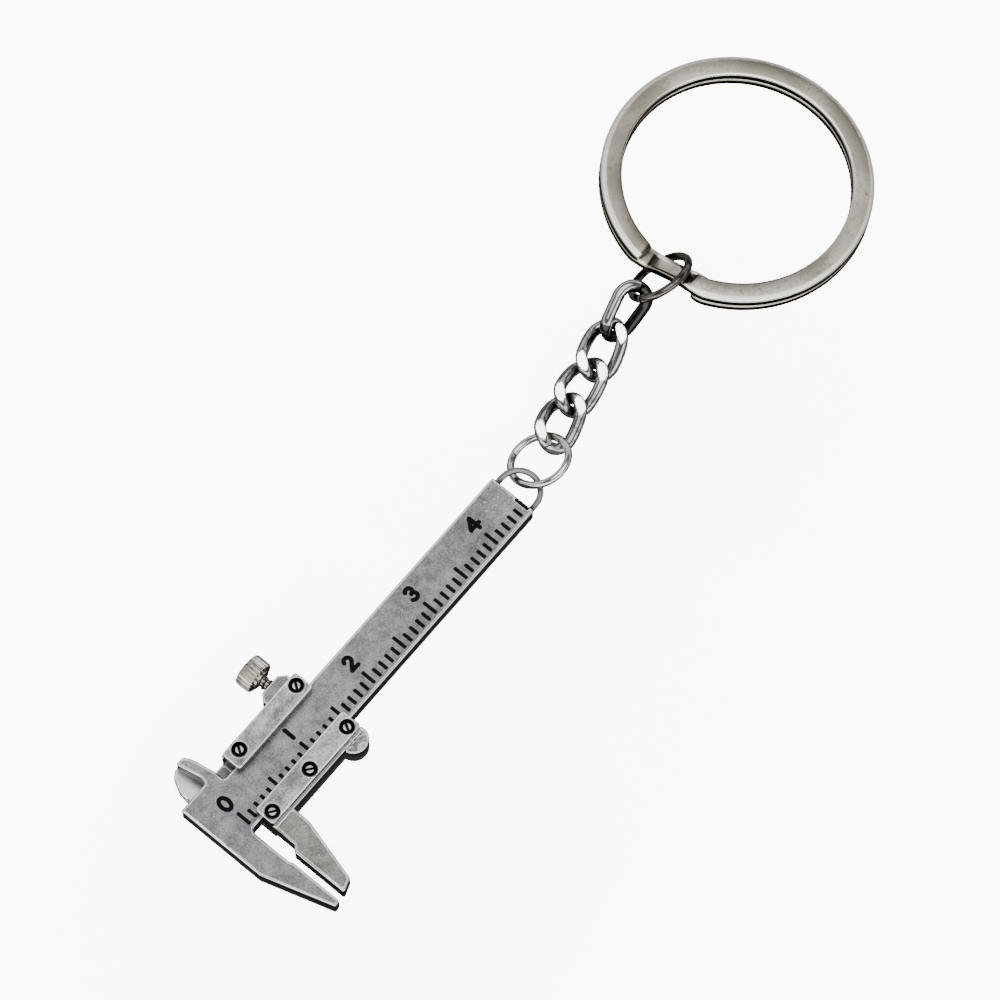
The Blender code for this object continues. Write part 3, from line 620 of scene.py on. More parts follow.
@dataclass(frozen=True)
class NickelFinish:
    """Nickel plate on wire, screws or band, with faint tarnish, fine scratches and shallow dents.

    Ranges and shares are as in CastFinish.

    Attributes:
        name: The material's name.
        bright: Colour of the clean plate.
        tarnish: Colour of the duller patches.
        roughness: Roughness of the clean plate.
        uneven_roughness: How much it changes with the tarnish, and with the scratches.
        patch: Size of the patches.
        broad_patches: Size of the broad patches, in patches.
        broad_share: Share of the broad patches.
        fine_patches: Size of the scratches, in patches.
        dull_weights: Weights of patches and scratches in the tarnish.
        dull_range: Their sum at which the tarnish starts, and is full.
        relief: Depth of the dents.
        scratch_depth: Depth of the scratches, as a multiple of the dents' relief.
        bump_strength: Strength of the relief.
        satin: How much rougher the flat faces are than the rest.
        face_range: Where a corner counts as on a flat face.
        slope_shade: Darker colour of the walls and of gently sloping faces, a painted shade, if they have
            one.
        slope_range: Where a gently sloping face starts, and is full.
        wall_range: Where a wall starts to end, and has ended.
        edge: Colour of the painted highlight on a band's borders.
        band: Node and width of a round band whose borders get a painted highlight, if it is one.
        border_range: Where the border starts, and is full, from the band's middle, in widths.
        border_spread: How far the border wavers.
        border_up_range: Where a corner of the band faces up enough to have a border.
        cloud: Size of broad duller clouds, if there are any.
        cloud_range: Noise at which a cloud starts, and is full.
        cloud_share: Share of tarnish in a cloud.
        metallic: Less than 1 where scratches also scatter light.
    """

    name: str
    bright: Colour
    tarnish: Colour
    roughness: float = 0.12
    uneven_roughness: float = 0.08
    patch: float = 1.1 * MM
    broad_patches: float = 6
    broad_share: float = 0.5
    fine_patches: float = 0.12
    dull_weights: tuple[float, float] = (0.75, 0.35)
    dull_range: Range = (0.5, 0.8)
    relief: float = 0.01 * MM
    scratch_depth: float = 0.3
    bump_strength: float = 0.5
    satin: float = 0.0
    face_range: Range = (0.965, 0.988)
    slope_shade: Colour | None = None
    slope_range: Range = (0.88, 0.93)
    wall_range: Range = (0.45, 0.8)
    edge: Colour = (0.9, 0.9, 0.9)
    band: tuple[str, float] | None = None
    border_range: Range = (0.3, 0.37)
    border_spread: float = 0.2 * MM
    border_up_range: Range = (0.8, 0.9)
    cloud: float = 0.0
    cloud_range: Range = (0.4, 0.62)
    cloud_share: float = 0.75
    metallic: float = 1.0

    def border(self, graph: Graph, place: Value, up: Value, patch: Value) -> Value:
        """Where a round band's borders get a painted highlight: far from the circle along its middle, where
        it looks up.

        Args:
            graph: The material's graph.
            place: Object coordinates.
            up: Upness.
            patch: The patches, which make the border waver.

        Returns:
            A share from 0 to 1.
        """
        node, width = self.band
        low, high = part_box(node)
        middle = (high.x - low.x - width) / 2
        across = graph.math("ABSOLUTE", graph.measure("DISTANCE", place, (low + high) / 2) - middle)
        start, full = self.border_range
        border = graph.step(across + (patch - 0.5) * self.border_spread, width * start, width * full)
        return border * graph.step(up, *self.border_up_range)

    def material(self) -> bpy.types.Material:
        """Build the material: tarnish over the plate, then clouds, painted shade on slopes and painted
        highlight on borders where it has them.

        Returns:
            The material.
        """
        material, graph, shader = new_material(self.name)
        place = graph.object_place()
        up = graph.upness()
        face = graph.step(up, *self.face_range)
        broad = graph.noise(place, self.patch * self.broad_patches, detail=1)
        patch = graph.noise(place, self.patch, detail=3, distortion=0.8) + (broad - 0.5) * self.broad_share
        fine = graph.noise(place, self.patch * self.fine_patches, detail=3)
        patch_weight, fine_weight = self.dull_weights
        dull = graph.step(patch * patch_weight + fine * fine_weight, *self.dull_range)
        colour = graph.mix(dull, self.bright, self.tarnish)
        if self.cloud:
            cloud = graph.step(graph.noise(place, self.cloud, detail=1), *self.cloud_range)
            colour = graph.mix(cloud * self.cloud_share, colour, self.tarnish)
        # Painted shade on the walls and the gently sloping faces.
        if self.slope_shade:
            sloping = graph.step(up, *self.slope_range) * (1 - face)
            wall = 1 - graph.step(up, *self.wall_range)
            colour = graph.mix(graph.math("MAXIMUM", sloping, wall), colour, self.slope_shade)
        # Painted highlight along a round band's borders.
        if self.band:
            colour = graph.mix(self.border(graph, place, up, patch), colour, self.edge)
        graph.feed(shader.inputs["Base Color"], colour)
        uneven = self.uneven_roughness
        rough = self.roughness + dull * uneven + (fine - 0.5) * uneven + face * self.satin
        graph.feed(shader.inputs["Roughness"], rough)
        shader.inputs["Metallic"].default_value = self.metallic
        relief = patch + fine * self.scratch_depth
        graph.feed(shader.inputs["Normal"], graph.bump(relief, self.relief, self.bump_strength))
        return material


@dataclass(frozen=True)
class EnamelFinish:
    """Black enamel in grooves and recesses, with a slightly uneven sheen.

    Attributes:
        name: The material's name.
        colour: The enamel's colour.
        lighter: How many times lighter its clouds are.
        cloud: Size of the clouds.
        cloud_range: Noise at which a cloud starts, and is full.
        roughness: Its roughness.
        uneven_roughness: How much that changes with the clouds.
        specular: Its specular level.
        relief: Depth of its bumps.
        bump_strength: Strength of the relief.
    """

    name: str
    colour: Colour = (0.0003, 0.0003, 0.0003)
    lighter: float = 2.5
    cloud: float = 0.25 * MM
    cloud_range: Range = (0.4, 0.8)
    roughness: float = 0.45
    uneven_roughness: float = 0.2
    specular: float = 0.03
    relief: float = 0.01 * MM
    bump_strength: float = 0.4

    def material(self) -> bpy.types.Material:
        """Build the material.

        Returns:
            The material.
        """
        material, graph, shader = new_material(self.name)
        cloud = graph.noise(graph.object_place(), self.cloud, detail=3)
        light = tuple(self.lighter * part for part in self.colour)
        colour = graph.mix(graph.step(cloud, *self.cloud_range), self.colour, light)
        graph.feed(shader.inputs["Base Color"], colour)
        graph.feed(shader.inputs["Roughness"], self.roughness + (cloud - 0.5) * self.uneven_roughness)
        shader.inputs["Specular IOR Level"].default_value = self.specular
        graph.feed(shader.inputs["Normal"], graph.bump(cloud, self.relief, self.bump_strength))
        return material


class Finish(Enum):
    """Every finish of the keychain."""

    # Each casting's third colour is its walls' painted shade, and its fourth its bright edges, partly wear
    # and partly painted highlight.
    BAR = CastFinish("bar_zinc", (0.075, 0.075, 0.081), (0.27, 0.27, 0.284), (0.09, 0.09, 0.092),
                     (0.93, 0.93, 0.93), dull_from=45.35 * MM)
    SLIDER = CastFinish("slider_zinc", (0.07, 0.07, 0.065), (0.25, 0.25, 0.234), (0.09, 0.09, 0.086),
                        (0.90, 0.90, 0.89), pale_below=0.5, dent=(14.0 * MM, -5.6 * MM, 3.5 * MM))
    STRIP = CastFinish("strip_plate", (0.075, 0.074, 0.07), (0.38, 0.375, 0.363), (0.08, 0.08, 0.078),
                       (0.96, 0.96, 0.95), roughness=0.24, edge_roughness=0.16, blotch=2.6 * MM,
                       relief=0.003 * MM, waves=0.06 * MM, smears=0.5)
    SCREW = NickelFinish("screw_steel", (0.36, 0.36, 0.36), (0.21, 0.21, 0.21), roughness=0.22,
                         patch=0.5 * MM)
    LOCK = NickelFinish("lock_nickel", (0.46, 0.435, 0.385), (0.15, 0.138, 0.115), roughness=0.15,
                        patch=0.7 * MM)
    WIRE = NickelFinish("wire_nickel", (0.45, 0.44, 0.425), (0.14, 0.137, 0.13), roughness=0.07)
    GROUND = NickelFinish("ground_nickel", (0.95, 0.95, 0.94), (0.86, 0.86, 0.84), roughness=0.3,
                          metallic=0.6)
    BRIGHT_WIRE = NickelFinish("bright_nickel", (0.62, 0.61, 0.59), (0.26, 0.255, 0.245), roughness=0.09)
    DARK_WIRE = NickelFinish("dark_nickel", (0.13, 0.12, 0.11), (0.045, 0.042, 0.038), roughness=0.12)
    SHADED_WIRE = NickelFinish("shaded_nickel", (0.035, 0.033, 0.03), (0.02, 0.018, 0.016), roughness=0.12)
    # The ring's slope colour is a painted shade, and its edge colour a painted highlight on the band's
    # borders.
    RING = NickelFinish("ring_nickel", (0.66, 0.615, 0.52), (0.27, 0.24, 0.19), roughness=0.14,
                        patch=0.45 * MM, relief=0.004 * MM, satin=0.14, slope_shade=(0.05, 0.043, 0.036),
                        edge=(0.98, 0.95, 0.88), band=("split_ring", 2.4 * MM), cloud=8 * MM)
    ENAMEL = EnamelFinish("black_enamel")

    def material(self) -> bpy.types.Material:
        """The finish's material, which is made once."""
        return bpy.data.materials.get(self.value.name) or self.value.material()


# Castings


def distance_to(segments: np.ndarray, points: np.ndarray) -> np.ndarray:
    """Distance from each point to its nearest segment, at the perpendicular's foot or at an end.

    Args:
        segments: S x 2 x 2 ends.
        points: P x 2 places.

    Returns:
        P distances.
    """
    start, reach = segments[:, 0], segments[:, 1] - segments[:, 0]
    away = points[:, None] - start[None]
    share = np.clip(np.sum(away * reach, axis=2) / np.sum(reach * reach, axis=1), 0, 1)
    return np.linalg.norm(away - share[..., None] * reach[None], axis=2).min(axis=1)


def covered(triangles: np.ndarray, points: np.ndarray, at_once: int = 400,
            slack: float = 1e-16) -> np.ndarray:
    """Whether each point lies in a triangle, to the left of all three sides, which run counterclockwise.

    Args:
        triangles: T x 3 x 2 corners.
        points: P x 2 places.
        at_once: About how many points are worked out together, to save memory.
        slack: The cross product that still counts as left, for points on a side.

    Returns:
        P truths.
    """
    sides = np.roll(triangles, -1, axis=1) - triangles
    found = np.zeros(len(points), bool)
    for part in np.array_split(np.arange(len(points)), len(points) // at_once + 1):
        away = points[part][:, None, None] - triangles[None]
        left = sides[None, ..., 0] * away[..., 1] - sides[None, ..., 1] * away[..., 0]
        found[part] = (left >= -slack).all(axis=2).any(axis=1)
    return found


def outline_lengths(places: np.ndarray, pairs: np.ndarray) -> np.ndarray:
    """For each point, the length of the outline that it is on.

    Each point takes the least number among its neighbours until none changes, and the edges are summed by it.

    Args:
        places: P x 2 places.
        pairs: E x 2 point numbers of the edges.

    Returns:
        P lengths.
    """
    label = np.arange(len(places))
    while True:
        least = np.minimum(label[pairs[:, 0]], label[pairs[:, 1]])
        new = label.copy()
        np.minimum.at(new, pairs[:, 0], least)
        np.minimum.at(new, pairs[:, 1], least)
        if (new == label).all():
            break
        label = new
    lengths = np.linalg.norm(places[pairs[:, 0]] - places[pairs[:, 1]], axis=1)
    return np.bincount(label[pairs[:, 0]], lengths, minlength=len(places))[label]


@dataclass
class Flats:
    """The faces of a casting that look straight up at one level.

    Attributes:
        z: The level.
        old: T x 3 x 2 corners of the triangles that first covered it.
        width: The width of the rim.
        least_outline: An outline shorter than this, such as a groove's, has no rim.
        downward: A face looks down where the height of its direction is less than this.
        most_cuts: More cuts than any edge needs.
        clear_share: How far from the outline a new point keeps at least, as a share of the width.
        merge: The distance, in millimetres, at which the triangulation takes points for one.
    """

    z: float
    old: np.ndarray
    width: float
    least_outline: float = 5 * MM
    downward: float = -0.5
    most_cuts: int = 200
    clear_share: float = 0.97
    merge: float = 1e-6

    def members(self, bm: bmesh.types.BMesh) -> list[bmesh.types.BMFace]:
        """The faces at the level that don't look down, slivers of no area among them."""
        return [face for face in bm.faces if face.normal.z > self.downward
                and all(abs(vert.co.z - self.z) < 2 * WELD_DISTANCE for vert in face.verts)]

    def outline(self, bm: bmesh.types.BMesh) -> list[bmesh.types.BMEdge]:
        """The edges that have exactly one of the faces on them.

        Args:
            bm: The casting.

        Returns:
            The edges, in the order of the faces, so that each run makes the same mesh.
        """
        faces = dict.fromkeys(self.members(bm))
        edges = dict.fromkeys(edge for face in faces for edge in face.edges)
        return [edge for edge in edges if sum(face in faces for face in edge.link_faces) == 1]

    def divide(self, bm: bmesh.types.BMesh) -> None:
        """Divide the outline into edges of no more than twice the rim's width.

        Args:
            bm: The casting, which is changed.
        """
        outline = self.outline(bm)
        for cuts in range(1, self.most_cuts):
            long = [edge for edge in outline if cuts < edge.calc_length() / (2 * self.width) <= cuts + 1]
            if long:
                bmesh.ops.subdivide_edges(bm, edges=long, cuts=cuts)

    def triangulate(self, places: np.ndarray, pairs: np.ndarray) -> tuple[np.ndarray, np.ndarray]:
        """Triangles over the faces, with a row of points a rim's width inside their outline.

        The new points are the middles of the outline's edges, moved square to them by the width to both
        sides. Those that lie off the old triangles or near another edge are left out.

        Args:
            places: P x 2 places of the outline's points.
            pairs: E x 2 point numbers of the outline's edges.

        Returns:
            The places with the new ones after them, and T x 3 point numbers.
        """
        middle = places[pairs].mean(axis=1)
        along = unit(places[pairs[:, 1]] - places[pairs[:, 0]])
        step = np.column_stack([-along[:, 1], along[:, 0]]) * self.width
        tries = np.concatenate([middle + step, middle - step])
        tries = tries[covered(self.old, tries)]
        tries = tries[distance_to(places[pairs], tries) > self.width * self.clear_share]
        points = np.concatenate([places, tries])
        found, _, faces, sources, _, _ = delaunay_2d_cdt(
            [Vector(p) for p in (points / MM).tolist()], pairs.tolist(), [], 0, self.merge)
        extra = [tuple(point * MM) for point, source in zip(found, sources) if not source]
        spare = iter(range(len(points), len(points) + len(extra)))
        number = np.array([source[0] if source else next(spare) for source in sources])
        points = np.concatenate([points, np.array(extra).reshape(-1, 2)])
        triangles = number[np.array(faces)]
        return points, triangles[covered(self.old, points[triangles].mean(axis=1))]

    def border(self, bm: bmesh.types.BMesh, layer: bmesh.types.BMLayerItem) -> None:
        """Triangulate the faces anew, with a row of points a rim's width inside their outline.

        The outline's points get a rim of 1 and the new points 0, so that the rim fades across the border.

        Args:
            bm: The casting, which is changed.
            layer: Where the rim is kept.
        """
        self.divide(bm)
        outline = self.outline(bm)
        verts = list(dict.fromkeys(vert for edge in outline for vert in edge.verts))
        number = {vert: i for i, vert in enumerate(verts)}
        places = np.array([vert.co[:2] for vert in verts])
        pairs = np.array([[number[vert] for vert in edge.verts] for edge in outline])
        points, triangles = self.triangulate(places, pairs)
        bmesh.ops.delete(bm, geom=self.members(bm), context="FACES_KEEP_BOUNDARY")
        for vert, reach in zip(verts, outline_lengths(places, pairs)):
            vert[layer] = float(reach > self.least_outline)
        verts += [bm.verts.new((x, y, self.z)) for x, y in points[len(verts):]]
        for a, b, c in triangles:
            bm.faces.new((verts[a], verts[b], verts[c]))


def border_flats(bm: bmesh.types.BMesh, width: float, least_area: float = 2 * MM * MM) -> None:
    """Give the flat faces that look straight up a border for their bright rims of wear and painted highlight.

    Args:
        bm: The welded mesh of triangles, which is changed.
        width: The rim's width.
        least_area: Levels whose flat faces have less area than this in all are left alone.
    """
    layer = bm.verts.layers.float.new(RIM)
    ups = [face for face in bm.faces if face.normal.z > STRAIGHT_UP]
    corners = np.array([[vert.co[:] for vert in face.verts] for face in ups])
    areas = np.array([face.calc_area() for face in ups])
    levels = np.round(corners[:, 0, 2] / MM, 3) * MM
    for z in np.unique(levels):
        if areas[levels == z].sum() >= least_area:
            Flats(float(z), corners[levels == z, :, :2], width).border(bm, layer)
    loose = [edge for edge in bm.edges if not edge.link_faces]
    bmesh.ops.delete(bm, geom=loose, context="EDGES")


def cast_copy(node: str, finish: Finish, rim: float = 0.13 * MM, sharp: float = 50) -> bpy.types.Object:
    """A welded copy of a CAD node, shaded smooth over its rounded edges and flat on its faces.

    Args:
        node: The CAD node's name.
        finish: Its finish.
        rim: How far the bright edge of wear and painted highlight reaches onto a flat face.
        sharp: Edges that bend by more degrees than this stay sharp.

    Returns:
        The new piece, which replaces the node.
    """
    bm = bmesh.new()
    bm.from_mesh(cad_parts[node].data)
    bmesh.ops.remove_doubles(bm, verts=bm.verts, dist=WELD_DISTANCE)
    border_flats(bm, rim)
    bm.normal_update()
    mesh = bpy.data.meshes.new(node + "_casting")
    bm.to_mesh(mesh)
    bm.free()
    mesh.materials.clear()
    mesh.materials.append(finish.material())
    mesh.polygons.foreach_set("material_index", np.zeros(len(mesh.polygons), np.int32))
    mesh.shade_smooth()
    mesh.set_sharp_from_angle(angle=sharp * DEGREE)
    weight_normals(mesh)
    store_facing(mesh)
    obj = add_object(node + "_casting", mesh)
    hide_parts(node)
    return obj


def weight_normals(mesh: bpy.types.Mesh, fineness: float = 1e4) -> None:
    """Set each corner's direction to its smooth group's mean, weighted by area, or up on a flat face.

    The faces around a point belong to one group where no sharp edge lies between them, so groups are found
    from equal shaded directions at the same point.

    Args:
        mesh: The mesh, whose corners are changed.
        fineness: Directions count as equal where they agree when multiplied by this and rounded.
    """
    count = len(mesh.loops)
    corner_point = np.empty(count, np.int64)
    mesh.loops.foreach_get("vertex_index", corner_point)
    shaded = np.empty(count * 3, np.float32)
    mesh.corner_normals.foreach_get("vector", shaded)
    totals = np.empty(len(mesh.polygons), np.int64)
    mesh.polygons.foreach_get("loop_total", totals)
    areas = np.empty(len(mesh.polygons), np.float32)
    mesh.polygons.foreach_get("area", areas)
    normals = np.empty(len(mesh.polygons) * 3, np.float32)
    mesh.polygons.foreach_get("normal", normals)
    weighted = np.repeat(normals.reshape(-1, 3) * areas[:, None], totals, axis=0)
    keys = np.column_stack([corner_point, np.round(shaded.reshape(-1, 3) * fineness).astype(np.int64)])
    _, group = np.unique(keys, axis=0, return_inverse=True)
    group = group.ravel()
    sums = np.stack([np.bincount(group, weighted[:, axis]) for axis in range(3)], axis=1)
    own = np.repeat(normals.reshape(-1, 3), totals, axis=0)
    directions = np.where(own[:, 2:] > STRAIGHT_UP, own, unit(sums[group]))
    mesh.normals_split_custom_set(directions.tolist())


def box_centre(node: str) -> Vector:
    """The middle of a CAD node's box."""
    low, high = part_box(node)
    return (low + high) / 2


class Digit(Enum):
    """The scale's plain numerals, drawn on a unit height about their middle."""

    ZERO = 0
    ONE = 1
    TWO = 2
    THREE = 3
    FOUR = 4

    def strokes(self, oval_points: int = 36, bow_points: int = 20) -> list[tuple[np.ndarray, bool]]:
        """The numeral's strokes: arcs and straight lines whose places are shares of its height.

        Args:
            oval_points: Points of a whole oval.
            bow_points: Points of a bow.

        Returns:
            For each stroke its path and whether it closes.
        """
        if self is Digit.ZERO:
            return [(arc((0, 0), (0.255, 0.385), 0, 350, oval_points), True)]
        if self is Digit.ONE:
            return [(polyline((0.02, 0.22), (0.02, -0.40)), False)]
        if self is Digit.TWO:
            bow = arc((0, 0.155), (0.21, 0.22), 165, -35, bow_points)
            return [(np.concatenate([bow, polyline(bow[-1], (-0.22, -0.36))[1:]]), False),
                    (polyline((-0.22, -0.375), (0.24, -0.375)), False)]
        if self is Digit.THREE:
            return [(arc((-0.02, 0.19), (0.20, 0.185), 150, -90, bow_points), False),
                    (arc((-0.02, -0.185), (0.22, 0.19), 90, -150, bow_points), False)]
        return [(polyline((0.13, -0.385), (0.13, 0.385)), False),
                (polyline((0.13, 0.385), (-0.31, -0.15)), False),
                (polyline((-0.31, -0.15), (0.32, -0.15)), False)]


def polyline(first: Sequence[float], second: Sequence[float], count: int = 10) -> np.ndarray:
    """Evenly spaced points of a straight line in the plane."""
    return np.linspace(np.asarray(first, float), np.asarray(second, float), count)


@dataclass
class Bar:
    """The casting with the scale, its black enamel and its numerals."""

    marks: int = 46
    mark_spacing: float = 1.0 * MM
    mark_width: float = 0.34 * MM
    mark_depth: float = 0.15 * MM
    mark_length: float = 1.2 * MM
    long_mark_length: float = 1.8 * MM
    marks_per_long: int = 5
    mark_edge_distance: float = 0.55 * MM
    mark_end_share: float = 0.6
    mark_end_points: int = 9
    mark_shoulder_share: float = 0.94
    mark_top_share: float = 0.6
    bar_width: float = 5.8 * MM
    enamel_rise: float = 0.008 * MM
    enamel_overlap: float = 0.035 * MM
    numeral_height: float = 2.0 * MM
    numeral_pitch: float = 10.0 * MM
    numeral_y: float = 1.05 * MM
    numeral_shift: float = -0.08 * MM
    numeral_rise: float = 0.02 * MM
    stroke_share: float = 0.245
    stroke_points: int = 14
    stroke_end_turns: tuple[float, float] = (90, 15)
    stroke_end_points: int = 6
    stroke_tip_share: float = 0.03
    top: float = field(init=False)

    def build(self) -> None:
        """Dress the casting and lay the enamel."""
        casting = cast_copy("main_beam", Finish.BAR)
        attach(casting, "beam")
        self.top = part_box("main_beam")[1].z
        self.lay_enamel("scale_marks", join([self.mark(i) for i in range(self.marks)]))
        for number, digit in enumerate(Digit):
            place = np.array([number * self.numeral_pitch + self.numeral_shift, self.numeral_y])
            strokes = [self.bead(stroke * self.numeral_height + place, closed)
                       for stroke, closed in digit.strokes()]
            self.lay_enamel(f"numeral_{number}", join(strokes))
        log.info("bar: casting, %d marks and %d numerals", self.marks, len(Digit))

    def lay_enamel(self, name: str, surface: Surface) -> None:
        """Make one piece of enamel on the bar.

        Args:
            name: The piece's name.
            surface: Its shape.
        """
        piece = surface.make(name, [Finish.ENAMEL.material()])
        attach(piece, "beam")

    def mark(self, index: int) -> Surface:
        """The enamel that fills one groove and laps its edges: a rounded slab whose rim falls away a little.

        Each ring of points is the slab's plan, two half ovals about its middle, drawn in by the rim's share.

        Args:
            index: The mark's number, counted from the scale's zero.

        Returns:
            The slab.
        """
        length = self.mark_length if index % self.marks_per_long else self.long_mark_length
        half = self.mark_width / 2 + self.enamel_overlap
        end = half * self.mark_end_share
        reach = length / 2 + self.enamel_overlap - end
        middle = -self.bar_width / 2 + self.mark_edge_distance + length / 2
        top = self.top + self.enamel_rise
        levels = ((1, self.top - self.mark_depth / 2), (1, self.top),
                  (self.mark_shoulder_share, top), (self.mark_top_share, top))
        rings = []
        for share, level in levels:
            upper = arc((0, reach), (half * share, end * share), 0, 180, self.mark_end_points)
            lower = arc((0, -reach), (half * share, end * share), 180, 360, self.mark_end_points)
            plan = np.concatenate([upper, lower]) + (index * self.mark_spacing, middle)
            rings.append(np.column_stack([plan, np.full(len(plan), level)]))
        return rings_surface(np.array(rings), False)

    def bead(self, path: np.ndarray, closed: bool) -> Surface:
        """A stroke of enamel along a path in the plane: a flat oval section, drawn in to round ends.

        An end's points stand half a stroke's width times sin t past the path, with a section of cos t.

        Args:
            path: N x 2 places.
            closed: Whether the path closes.

        Returns:
            The stroke, on the bar's top.
        """
        half = self.numeral_height * self.stroke_share / 2
        shares = np.ones(len(path))
        if not closed:
            turns = np.linspace(*self.stroke_end_turns, self.stroke_end_points) * DEGREE
            first = unit(path[0] - path[1])
            last = unit(path[-1] - path[-2])
            reach = np.sin(turns)[:, None] * half
            path = np.concatenate([path[0] + first * reach, path, path[-1] + last * reach[::-1]])
            ends = np.maximum(np.cos(turns), self.stroke_tip_share)
            shares = np.concatenate([ends, shares, ends[::-1]])
        section = circle(half, self.stroke_points, self.numeral_rise)
        points = np.column_stack([path, np.full(len(path), self.top)])
        return sweep(points, UP, shares[:, None, None] * section[None], closed)


@dataclass
class Slider:
    """The slider's casting, its two guide strips and their five screws."""

    recess_reach: float = 1.0 * MM
    recess_least_depth: float = 0.02 * MM
    head_radius: float = 0.85 * MM
    head_height: float = 0.5 * MM
    head_wall: float = 0.1 * MM
    head_points: int = 40
    slope_reach: float = 0.13 * MM
    slope_drop: float = 0.2 * MM
    land_radius: float = 0.42 * MM
    land_bevel: float = 0.02 * MM
    land_bevel_drop: float = 0.04 * MM
    land_edge_drop: float = 0.01 * MM
    land_flat_share: float = 0.9
    dark_rows: int = 5
    lip_radius: float = 0.82 * MM
    lip_outer: float = 0.96 * MM
    lip_depth: float = 0.13 * MM
    lip_land: float = 0.03 * MM
    lip_bevel: float = 0.02 * MM
    lip_nose_drop: float = 0.06 * MM
    lip_points: int = 48
    slot_width: float = 0.27 * MM
    slot_depth: float = 0.25 * MM
    shank_radius: float = 0.3 * MM
    shank_length: float = 2.35 * MM
    slot_turns: tuple[float, ...] = (58, 54, -36, -38, 62)

    @property
    def screw_nodes(self) -> list[str]:
        """The screws' names."""
        return [f"strip_screw_{index + 1}" for index in range(len(self.slot_turns))]

    def build(self) -> None:
        """Dress the castings and make the screws."""
        body = cast_copy("slider_body", Finish.SLIDER)
        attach(body, "slider")
        for node in ("upper_guide_strip", "lower_guide_strip"):
            strip = cast_copy(node, Finish.STRIP)
            self.blacken_recesses(strip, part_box(node)[1].z)
            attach(strip, "slider")
        for node, turn in zip(self.screw_nodes, self.slot_turns):
            self.screw(node, turn)
        strip_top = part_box("lower_guide_strip")[1].z
        lips = join([self.lip(node, strip_top) for node in self.screw_nodes])
        piece = lips.make("recess_lips", [Finish.STRIP.material()])
        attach(piece, "slider")
        log.info("slider: casting, two strips and %d screws", len(self.slot_turns))

    def blacken_recesses(self, strip: bpy.types.Object, top: float) -> None:
        """Give the faces within a screw's reach, below the strip's top, the enamel.

        Args:
            strip: The strip, which gets the enamel as its second material.
            top: The height of its top.
        """
        strip.data.materials.append(Finish.ENAMEL.material())
        centres = np.array([box_centre(node)[:2] for node in self.screw_nodes])
        faces = np.empty(len(strip.data.polygons) * 3, np.float32)
        strip.data.polygons.foreach_get("center", faces)
        faces = faces.reshape(-1, 3)
        away = np.linalg.norm(faces[:, None, :2] - centres[None], axis=2).min(axis=1)
        inside = (away < self.recess_reach) & (faces[:, 2] < top - self.recess_least_depth)
        strip.data.polygons.foreach_set("material_index", inside.astype(np.int32))

    def lip(self, node: str, top: float) -> Surface:
        """A ring that narrows one recess's mouth: an annulus that slopes in and down, then back under itself.

        Args:
            node: The screw in the recess.
            top: The height of the strip's top.

        Returns:
            The ring.
        """
        centre = box_centre(node)
        mouth = self.lip_radius + self.lip_bevel
        profile = np.array([
            (self.lip_outer, top), (self.lip_outer - self.lip_land, top), (mouth, top - self.lip_land),
            (self.lip_radius, top - self.lip_nose_drop), (mouth, top - self.lip_depth),
            (self.lip_outer, top - self.lip_depth)])
        return rings_surface(turned(profile, self.lip_points) + (centre.x, centre.y, 0), True)

    def screw(self, node: str, turn: float) -> None:
        """A screw whose dark head slopes down from two small bright lands, which the slot parts.

        Args:
            node: The screw, which the piece replaces.
            turn: The slot's angle from X, in degrees.
        """
        centre = box_centre(node)
        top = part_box(node)[1].z
        seat = top - self.head_height
        profile = np.array([
            (self.shank_radius, seat - self.shank_length), (self.shank_radius, seat),
            (self.head_radius, seat), (self.head_radius, seat + self.head_wall),
            (self.land_radius + self.slope_reach, top - self.slope_drop),
            (self.land_radius + self.land_bevel, top - self.land_bevel_drop),
            (self.land_radius, top - self.land_edge_drop), (self.land_radius * self.land_flat_share, top)])
        head = rings_surface(turned(profile, self.head_points), False)
        head.marks = np.zeros(len(head.quads) + len(head.caps))
        head.marks[:self.dark_rows * self.head_points] = 1
        head.marks[len(head.quads)] = 1
        piece = head.make(node + "_turned", [Finish.SCREW.material(), Finish.ENAMEL.material()])
        cut(piece, self.slot_cutter(top))
        rotation = Matrix.Rotation(turn * DEGREE, 4, "Z")
        piece.data.transform(Matrix.Translation((centre.x, centre.y, 0)) @ rotation)
        store_facing(piece.data)
        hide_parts(node)
        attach(piece, "slider")

    def slot_cutter(self, top: float) -> bpy.types.Object:
        """A bar across the head, as wide as the slot.

        Args:
            top: The height of the head's top.

        Returns:
            The bar, which reaches past the head at both ends and above it.
        """
        half = self.slot_width / 2
        x = 2 * self.head_radius
        ring = ((-half, top - self.slot_depth), (half, top - self.slot_depth), (half, top + half),
                (-half, top + half))
        rings = np.array([[(side * x, y, z) for y, z in ring] for side in (-1, 1)])
        return rings_surface(rings, False).make("slot_cutter", [Finish.ENAMEL.material()])


def cut(piece: bpy.types.Object, cutter: bpy.types.Object) -> None:
    """Cut a piece with another; the cut faces keep the cutter's material.

    Args:
        piece: The piece, whose mesh is replaced.
        cutter: What it is cut with, which is removed.
    """
    modifier = piece.modifiers.new("cut", "BOOLEAN")
    modifier.operation = "DIFFERENCE"
    modifier.solver = "EXACT"
    modifier.material_mode = "TRANSFER"
    modifier.object = cutter
    bpy.context.view_layer.update()
    evaluated = piece.evaluated_get(bpy.context.evaluated_depsgraph_get())
    mesh = bpy.data.meshes.new_from_object(evaluated)
    piece.modifiers.clear()
    piece.data = mesh
    bpy.data.objects.remove(cutter)


